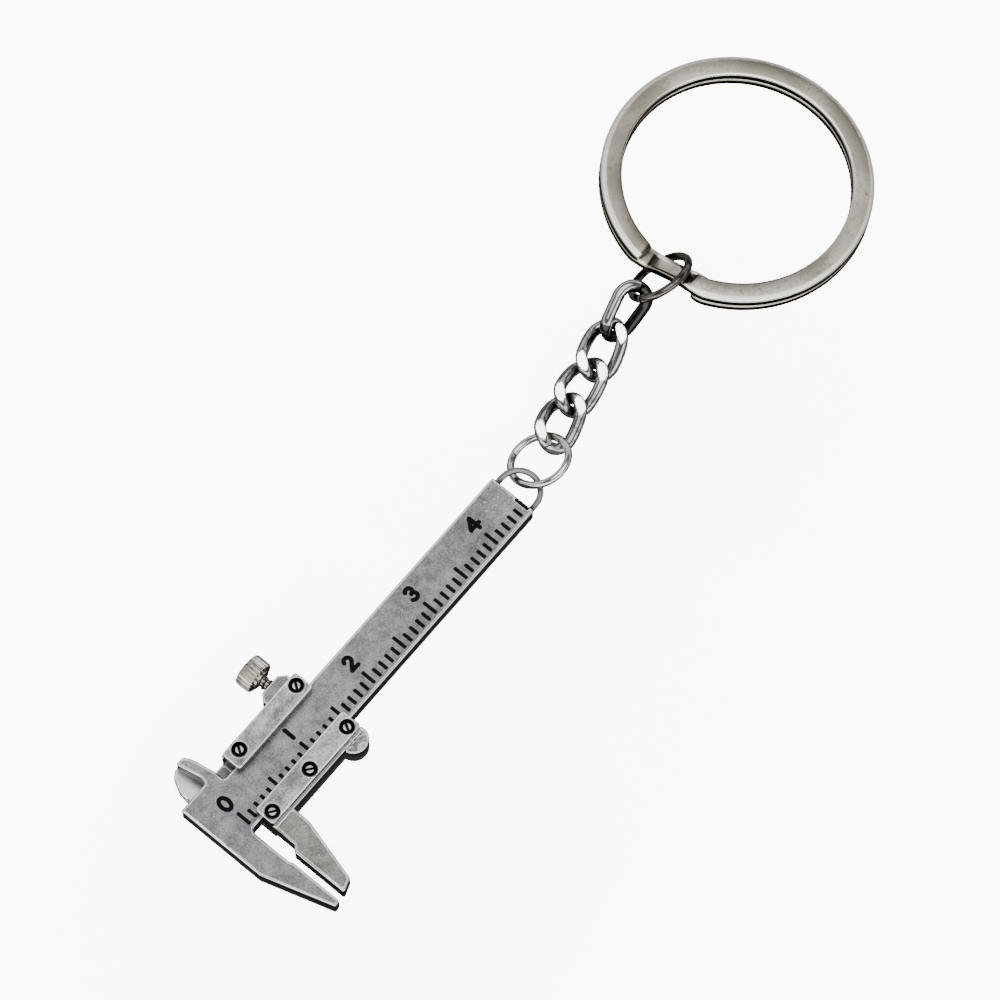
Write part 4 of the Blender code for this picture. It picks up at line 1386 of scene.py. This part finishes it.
@dataclass
class LockScrew:
    """The knurled screw, turned about Y, with a sharp thread that climbs one pitch per turn."""

    thread_radius: float = 0.75 * MM
    thread_depth: float = 0.17 * MM
    thread_pitch: float = 0.5 * MM
    thread_points: int = 48
    rings_per_pitch: int = 16
    wave_rise: float = 1.3
    wave_flat: float = 0.1
    head_radius: float = 1.9 * MM
    head_length: float = 1.9 * MM
    chamfer: float = 0.22 * MM
    chamfer_bulge_share: float = 0.3
    flutes: int = 24
    flute_depth: float = 0.2 * MM
    flute_points: int = 10
    flute_sharpness: float = 1.5
    flute_fade: float = 0.7
    neck_share: float = 0.6
    collar_radius: float = 1.2 * MM
    collar_length: float = 0.22 * MM
    dish: float = 0.06 * MM
    dish_shares: tuple[float, float, float] = (0.2, 0.5, 0.1)

    def build(self) -> None:
        """Make the screw."""
        low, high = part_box("lock_screw")
        centre = (low + high) / 2
        head_start = high.y - low.y - self.head_length
        surface = join([self.thread(head_start), self.head(head_start)])
        x, y, z = surface.points.T
        surface.points = np.column_stack([centre.x + x, low.y + z, centre.z - y])
        piece = surface.outward().make("lock_screw_turned", [Finish.LOCK.material()], sharp=28)
        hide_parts("lock_screw")
        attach(piece, "lock_screw")
        log.info("lock screw: thread and knurled head")

    def thread(self, length: float) -> Surface:
        """Radius: outer radius less a triangle wave of (height / pitch - turn), with flat crests.

        Args:
            length: The thread's length, to which one chamfer is added inside the head.

        Returns:
            The thread, along Z.
        """
        steps = math.ceil(length / self.thread_pitch * self.rings_per_pitch)
        heights = np.linspace(0, length + self.chamfer, steps)
        turns = np.arange(self.thread_points) / self.thread_points
        phase = (heights[:, None] / self.thread_pitch - turns[None]) % 1
        wave = np.clip(np.abs(2 * phase - 1) * self.wave_rise - self.wave_flat, 0, 1)
        profile = np.column_stack([np.full(steps, self.thread_radius), heights])
        return rings_surface(turned(profile, self.thread_points, wave * self.thread_depth), False)

    def head(self, start: float) -> Surface:
        """Radius: head radius less a cosine dip at each flute, fading out over both chamfers.

        Args:
            start: The height of the head's lower face.

        Returns:
            The head with its collar, along Z.
        """
        sides = self.flutes * self.flute_points
        end = start + self.head_length
        r, c = self.head_radius, self.chamfer
        bulge = c * self.chamfer_bulge_share
        dish_rim, dish_foot, dish_middle = self.dish_shares
        profile = np.array([
            (self.thread_radius * self.neck_share, start - self.collar_length),
            (self.collar_radius, start - self.collar_length), (self.collar_radius, start), (r - c, start),
            (r - bulge, start + bulge), (r, start + c), (r, end - c), (r - bulge, end - bulge), (r - c, end),
            (r - 2 * c, end - self.dish * dish_rim), (r * dish_foot, end - self.dish),
            (r * dish_middle, end - self.dish)])
        fade = np.zeros(len(profile))
        fade[4:8] = (self.flute_fade, 1, 1, self.flute_fade)
        angles = 2 * np.pi * np.arange(sides) / sides
        dip = (0.5 + 0.5 * np.cos(self.flutes * angles)) ** self.flute_sharpness
        return rings_surface(turned(profile, sides, fade[:, None] * dip[None] * self.flute_depth), False)


# Chain and rings


@dataclass(frozen=True)
class Lay:
    """How a chain piece lies: yaw to the left, pitch up at its far end, and roll that lifts its +Y side."""

    yaw: float
    pitch: float
    roll: float

    def rotation(self) -> Matrix:
        """The turn as a matrix."""
        return (Matrix.Rotation(self.yaw * DEGREE, 3, "Z") @ Matrix.Rotation(-self.pitch * DEGREE, 3, "Y")
                @ Matrix.Rotation(self.roll * DEGREE, 3, "X"))


@dataclass
class Wire:
    """A ring or link of round wire, with the place that its neighbour and its own turn give it."""

    lay: Lay
    length: float
    wire: float
    twist: float = 0
    centre: Vector = field(default_factory=Vector)

    @property
    def along(self) -> Vector:
        """Direction from the near end to the far end."""
        return self.lay.rotation() @ Vector((1, 0, 0))

    @property
    def far(self) -> Vector:
        """Centre of the wire at the far end."""
        return self.centre + self.along * (self.length / 2)

    def tangent(self, side: int) -> Vector:
        """Direction of the wire where it crosses the near end (-1) or the far end (1)."""
        angle = -side * self.twist * DEGREE
        return self.lay.rotation() @ Vector((0, math.cos(angle), math.sin(angle)))

    def hang(self, parent: "Wire", clearance: float) -> "Wire":
        """Lay the near wire just inside the parent's far wire, along the common normal of the two.

        Args:
            parent: The piece that this one hangs in.
            clearance: The gap between the two wires.

        Returns:
            The piece itself.
        """
        inward = parent.tangent(1).cross(self.tangent(-1)).normalized()
        if inward.dot(parent.along) > 0:
            inward = -inward
        near = parent.far + inward * ((parent.wire + self.wire) / 2 + clearance)
        self.centre = near + self.along * (self.length / 2)
        return self

    def place(self, surface: Surface) -> Surface:
        """Turn and move a surface from the piece's own axes into the frame.

        Args:
            surface: The surface, which is changed.

        Returns:
            The same surface.
        """
        turn = np.array(self.lay.rotation())
        surface.points = surface.points @ turn.T + np.array(self.centre)
        return surface


@dataclass
class Chain:
    """The jump ring, the four curb links and the connector ring."""

    clearance: float = 0.1 * MM
    eye_x: float = 46.2 * MM
    eye_reach: float = 2.0 * MM
    level: float = 2.65 * MM
    slack: float = 0.5 * MM
    jump_lay: Lay = Lay(10, -1, -35)
    jump_wire: float = 0.9 * MM
    jump_length: float = 6.2 * MM
    jump_width: float = 7.4 * MM
    jump_cut: float = 91
    link_lays: tuple[Lay, ...] = (Lay(16, -7, 0), Lay(9, -5, 0), Lay(17, 7, 0), Lay(6, 28, 52))
    link_twists: tuple[float, ...] = (45, 45, 45, 15)
    link_wire: float = 1.35 * MM
    link_length: float = 6.25 * MM
    link_width: float = 3.7 * MM
    link_steps: int = 112
    link_points: int = 36
    ground_height: float = 2.5 * MM
    shaded_side_share: float = 0.2
    shaded_end_share: float = 0.3
    connector_lay: Lay = Lay(-12, 5, -50)
    connector_wire: float = 0.95 * MM
    connector_diameter: float = 7.0 * MM
    connector_cut: float = 205
    ring_steps: int = 120
    ring_points: int = 28
    cut_width: float = 0.03 * MM
    cut_bevel: float = 0.05 * MM
    trim: float = 0.02 * MM

    def build(self) -> Wire:
        """Make every piece, each hung from the one before it.

        Returns:
            The connector ring's place, which carries the split ring.
        """
        jump = Wire(self.jump_lay, self.jump_length, self.jump_wire)
        near = Vector((self.eye_x + self.eye_reach - self.slack - self.jump_wire / 2, 0, self.level))
        jump.centre = near + jump.along * (jump.length / 2)
        ring = self.open_ring(self.jump_length, self.jump_width, self.jump_wire, self.jump_cut)
        self.dress("jump_ring", jump.place(ring), Finish.BRIGHT_WIRE)
        parent = jump
        for index, (lay, twist) in enumerate(zip(self.link_lays, self.link_twists)):
            parent = Wire(lay, self.link_length, self.link_wire, twist).hang(parent, self.clearance)
            is_last = index == len(self.link_lays) - 1
            self.dress(f"chain_link_{index + 1}", parent.place(self.link(twist, is_last)), Finish.WIRE)
        connector = Wire(self.connector_lay, self.connector_diameter, self.connector_wire)
        connector.hang(parent, self.clearance)
        ring = self.open_ring(self.connector_diameter, self.connector_diameter, self.connector_wire,
                              self.connector_cut)
        self.dress("connector_ring", connector.place(ring), Finish.DARK_WIRE)
        log.info("chain: jump ring, %d links and connector ring", len(self.link_lays))
        return connector

    def dress(self, node: str, surface: Surface, wire: Finish) -> None:
        """Make one piece of the chain.

        Args:
            node: The CAD node that it replaces.
            surface: Its shape.
            wire: The finish of its faces that aren't marked as ground or shaded.
        """
        materials = [wire.material(), Finish.GROUND.material(), Finish.SHADED_WIRE.material()]
        piece = surface.make(node + "_wire", materials, sharp=32)
        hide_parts(node)
        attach(piece, node)

    def open_ring(self, length: float, width: float, wire: float, cut_angle: float) -> Surface:
        """Round wire along an ellipse, closed but for a hair's gap, where its two cut ends meet.

        Args:
            length: The ellipse's length along X, between the middles of the wire.
            width: Its width along Y.
            wire: The wire's diameter.
            cut_angle: The gap's angle from X, in degrees.

        Returns:
            The ring, in its own axes.
        """
        gap = self.cut_width / (length / 2) / 2
        angles = cut_angle * DEGREE + np.linspace(gap, 2 * np.pi - gap, self.ring_steps)
        x, y = length / 2 * np.cos(angles), width / 2 * np.sin(angles)
        path = np.column_stack([x, y, np.zeros(len(angles))])
        section = circle(wire / 2 - self.trim, self.ring_points)
        shares = np.ones(len(angles))
        shares[[0, -1]] = 1 - self.cut_bevel / (wire / 2)
        return sweep(path, UP, shares[:, None, None] * section[None], False)

    def link(self, twist: float, is_end_link: bool) -> Surface:
        """A stadium path that turns about X in proportion to x, swept with round wire and ground flat.

        Points that lie past half the ground height, above or below, are moved onto those two planes, and the
        faces on them are marked as ground. The inside, one side and the near end of the opened end link are
        marked as shaded: the faces whose offset from the path points to the link's middle line, and those
        past two lines across the plan.

        Args:
            twist: How far each end is turned, in degrees.
            is_end_link: Whether this is the opened end link.

        Returns:
            The link, in its own axes.
        """
        radius = self.link_width / 2
        straight = self.link_length / 2 - radius
        plan = stadium(straight, radius, self.link_steps)
        angles = -twist * DEGREE * plan[:, 0] / (self.link_length / 2)
        path = np.column_stack([plan[:, 0], plan[:, 1] * np.cos(angles), plan[:, 1] * np.sin(angles)])
        uprights = np.column_stack([np.zeros(len(plan)), -np.sin(angles), np.cos(angles)])
        surface = sweep(path, uprights, circle(self.link_wire / 2, self.link_points), True)
        flat = self.ground_height / 2
        ground = np.abs(surface.points[:, 2]) >= flat
        surface.points[:, 2] = np.clip(surface.points[:, 2], -flat, flat)
        surface.marks = ground[surface.quads].all(axis=1).astype(np.int32)
        if is_end_link:
            outward = path.copy()
            outward[:, 0] -= np.clip(outward[:, 0], -straight, straight)
            offset = surface.points - np.repeat(path, self.link_points, axis=0)
            inner = (offset * np.repeat(outward, self.link_points, axis=0)).sum(axis=1) < 0
            x, y = np.repeat(plan, self.link_points, axis=0).T
            side = y < self.shaded_side_share * radius
            near_end = x < -straight - self.shaded_end_share * radius
            shaded = (inner | side | near_end)[surface.quads].all(axis=1)
            surface.marks[shaded & (surface.marks == 0)] = 2
        return surface


def stadium(straight: float, radius: float, count: int, arc_points: int = 60) -> np.ndarray:
    """Evenly spaced points of a stadium: two half circles joined by two straight runs.

    Args:
        straight: Half the length of a run.
        radius: The half circles' radius.
        count: How many points there are.
        arc_points: Points of each half circle before they are spaced evenly.

    Returns:
        Count x 2 places.
    """
    corners = np.concatenate([
        arc((straight, 0), (radius, radius), -90, 90, arc_points),
        arc((-straight, 0), (radius, radius), 90, 270, arc_points),
    ])
    loop = np.concatenate([corners, corners[:1]])
    reach = np.concatenate([[0], np.cumsum(np.linalg.norm(np.diff(loop, axis=0), axis=1))])
    wanted = np.linspace(0, reach[-1], count, endpoint=False)
    return np.column_stack([np.interp(wanted, reach, loop[:, axis]) for axis in range(2)])


@dataclass
class SplitRing:
    """One flat band wound two turns, with a short climb past its lower end and a flat pressed into it.

    Angles are in degrees about the ring's middle, counted on past 360 in the second turn.
    """

    yaw: float = 4
    shift: float = 1.3 * MM
    diameter: float = 29.8 * MM
    width: float = 2.4 * MM
    thickness: float = 1.0 * MM
    gap: float = 0.12 * MM
    rounding: float = 0.25 * MM
    rounding_points: int = 6
    steps: int = 460
    start: float = 196
    climb_start: float = 172 + 360
    climb_end: float = 194 + 360
    climb_ease: float = 0.2
    end: float = 168 + 720
    end_shares: tuple[float, float] = (0.9, 0.76)
    next_end_shares: tuple[float, float] = (0.98, 0.95)
    flat_middle: float = 182
    flat_half: float = 18
    flat_end: float = 700
    roll: float = 20
    trim: float = 0.01 * MM

    def build(self, connector: Wire) -> None:
        """Wind the band and lay it in the connector ring, its far side on the ground.

        Args:
            connector: The connector ring's place.
        """
        half_height = self.thickness + self.gap / 2
        near_radius, far_radius = self.radius(np.array([180.0, 0.0])).tolist()
        turn = Matrix.Rotation(self.yaw * DEGREE, 3, "Z")
        near = connector.centre + turn @ Vector((self.shift, 0, 0))
        tilt = math.asin((near.z - half_height) / (near_radius + far_radius + self.width / 2)) / DEGREE
        ring = Wire(Lay(self.yaw, -tilt, 0), 2 * near_radius, 2 * half_height)
        ring.centre = near + ring.along * near_radius
        piece = ring.place(self.band()).make("split_ring_band", [Finish.RING.material()], sharp=50)
        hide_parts("split_ring")
        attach(piece, "split_ring")
        log.info("split ring: two turns, tilted %.1f degrees", tilt)

    def radius(self, angles: np.ndarray) -> np.ndarray:
        """The band's own radius, less where a chord cuts across the flat stretch, which the upper end skips.

        Args:
            angles: N angles in degrees.

        Returns:
            N radii of the band's middle.
        """
        away = (angles - self.flat_middle + 180) % 360 - 180
        radius = (self.diameter - self.width) / 2 - self.trim
        chord = radius * math.cos(self.flat_half * DEGREE) / np.cos(away * DEGREE)
        return np.where((np.abs(away) >= self.flat_half) | (angles > self.flat_end), radius, chord)

    def band(self) -> Surface:
        """Sweep of a rounded rectangle: angle runs two turns, height steps up once past the lower end.

        While the band climbs it also rolls, by a half circle over the share climbed, and its inner side dips.

        Returns:
            The band, in the ring's own axes.
        """
        angles = np.linspace(self.start, self.end, self.steps)
        share = np.clip((angles - self.climb_start) / (self.climb_end - self.climb_start), 0, 1)
        climb = (1 - self.climb_ease) * share + self.climb_ease * share * share * (3 - 2 * share)
        height = (climb - 0.5) * (self.thickness + self.gap)
        radius = self.radius(angles)
        cos, sin = np.cos(angles * DEGREE), np.sin(angles * DEGREE)
        path = np.column_stack([radius * cos, radius * sin, height])
        half = np.array([self.width / 2 - self.rounding, self.thickness / 2 - self.rounding])
        section = np.concatenate([
            arc(half * side, (self.rounding, self.rounding), turn, turn + 90, self.rounding_points)
            for side, turn in (((1, 1), 0), ((-1, 1), 90), ((-1, -1), 180), ((1, -1), 270))])
        shares = np.ones((len(angles), 1, 2))
        shares[0] = shares[-1] = self.end_shares
        shares[1] = shares[-2] = self.next_end_shares
        roll = self.roll * DEGREE * np.sqrt(4 * share * (1 - share))
        uprights = np.column_stack([-cos * np.sin(roll), -sin * np.sin(roll), np.cos(roll)])
        return sweep(path, uprights, section[None] * shares, False)


# Studio


@dataclass
class Studio:
    """The camera, the pale floor and the soft light, with a darker surround for the metal to mirror.

    The surround's ranges are of a direction's height, from -1 straight down to 1 straight up, and the
    window's is of how far a direction points to the camera's side. Its lights are strengths.
    """

    azimuth: float = -49.914
    elevation: float = 71.703
    distance: float = 0.65
    lens: float = 221.04
    sensor_width: float = 36
    clip_start: float = 0.01
    clip_end: float = 50
    target: tuple[float, float, float] = (0.043877, 0.000613, 0.0039)
    floor_half: float = 4.0
    floor_depth: float = 60 * MM
    floor_colour: Colour = (0.92, 0.92, 0.92)
    floor_roughness: float = 0.9
    key_energy: float = 315.0
    key_size: float = 1.4
    key_height: float = 1.5
    softbox_range: Range = (0.8, 0.935)
    band_start: Range = (0.02, 0.12)
    band_end: Range = (0.48, 0.64)
    window_range: Range = (0.3, 0.7)
    above_range: Range = (0.05, 0.2)
    below_start: Range = (-0.75, -0.5)
    below_end: Range = (-0.15, 0.0)
    everywhere_light: float = 0.04
    softbox_light: float = 2.8
    window_light: float = 2.4
    band_light: float = 0.95
    above_light: float = 0.2
    below_light: float = 0.28

    def build(self) -> None:
        """Set everything up."""
        self.camera()
        self.floor()
        self.key()
        self.surround()
        log.info("studio: camera, floor, key light and surround")

    def toward_camera(self) -> Vector:
        """Direction from the object to the camera."""
        a, e = self.azimuth * DEGREE, self.elevation * DEGREE
        return Vector((math.sin(a) * math.cos(e), -math.cos(a) * math.cos(e), math.sin(e)))

    def camera(self) -> None:
        """A long lens at the photograph's angle."""
        data = bpy.data.cameras.new("camera")
        data.lens = self.lens
        data.sensor_width = self.sensor_width
        data.clip_start = self.clip_start
        data.clip_end = self.clip_end
        camera = add_object("camera", data)
        back = self.toward_camera()
        camera.location = Vector(self.target) + back * self.distance
        camera.rotation_mode = "QUATERNION"
        camera.rotation_quaternion = (-back).to_track_quat("-Z", "Y")
        bpy.context.scene.camera = camera

    def floor(self) -> None:
        """A plain pale plane, so far below the slider's back that no piece swings into it."""
        h = self.floor_half
        z = -self.floor_depth
        mesh = bpy.data.meshes.new("floor")
        mesh.from_pydata([(-h, -h, z), (h, -h, z), (h, h, z), (-h, h, z)], [], [(0, 1, 2, 3)])
        material, graph, shader = new_material("pale_floor")
        graph.feed(shader.inputs["Base Color"], self.floor_colour)
        shader.inputs["Roughness"].default_value = self.floor_roughness
        shader.inputs["Specular IOR Level"].default_value = 0.0
        mesh.materials.append(material)
        floor = add_object("floor", mesh)
        floor.visible_glossy = False

    def key(self) -> None:
        """A broad soft light overhead for the floor, which the metal doesn't mirror."""
        data = bpy.data.lights.new("key", "AREA")
        data.energy = self.key_energy
        data.size = self.key_size
        key = add_object("key", data)
        key.location = (self.target[0], self.target[1], self.key_height)
        key.visible_glossy = False

    def surround(self) -> None:
        """What the metal mirrors.

        A soft box overhead, a band of light above the horizon with a window on the camera's side, dim between
        the two, a faint band below the horizon and near darkness under it. The camera itself sees white.
        """
        world = bpy.data.worlds.new("surround")
        bpy.context.scene.world = world
        world.use_nodes = True
        graph = Graph(world.node_tree)
        direction = graph.out(graph.add("ShaderNodeTexCoord"), "Generated")
        z = graph.part(direction, "Z")
        side = self.toward_camera()
        side.z = 0
        side.normalize()
        softbox = graph.step(z, *self.softbox_range)
        band = graph.step(z, *self.band_start) * (1 - graph.step(z, *self.band_end))
        window = graph.step(graph.measure("DOT_PRODUCT", direction, side), *self.window_range) * band
        above = graph.step(z, *self.above_range)
        below = graph.step(z, *self.below_start) * (1 - graph.step(z, *self.below_end))
        light = (self.everywhere_light + softbox * self.softbox_light + window * self.window_light
                 + band * self.band_light + above * self.above_light + below * self.below_light)
        seen = graph.out(graph.add("ShaderNodeLightPath"), "Is Camera Ray")
        background = world.node_tree.nodes["Background"]
        graph.feed(background.inputs["Color"], (1, 1, 1))
        graph.feed(background.inputs["Strength"], light * (1 - seen) + seen)


def main() -> None:
    """Build the studio and every sub-assembly."""
    logging.basicConfig(level=logging.INFO, format="%(name)s: %(message)s")
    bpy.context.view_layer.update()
    Studio().build()
    Bar().build()
    Slider().build()
    LockScrew().build()
    connector = Chain().build()
    SplitRing().build(connector)


if __name__ == "__main__":
    main()
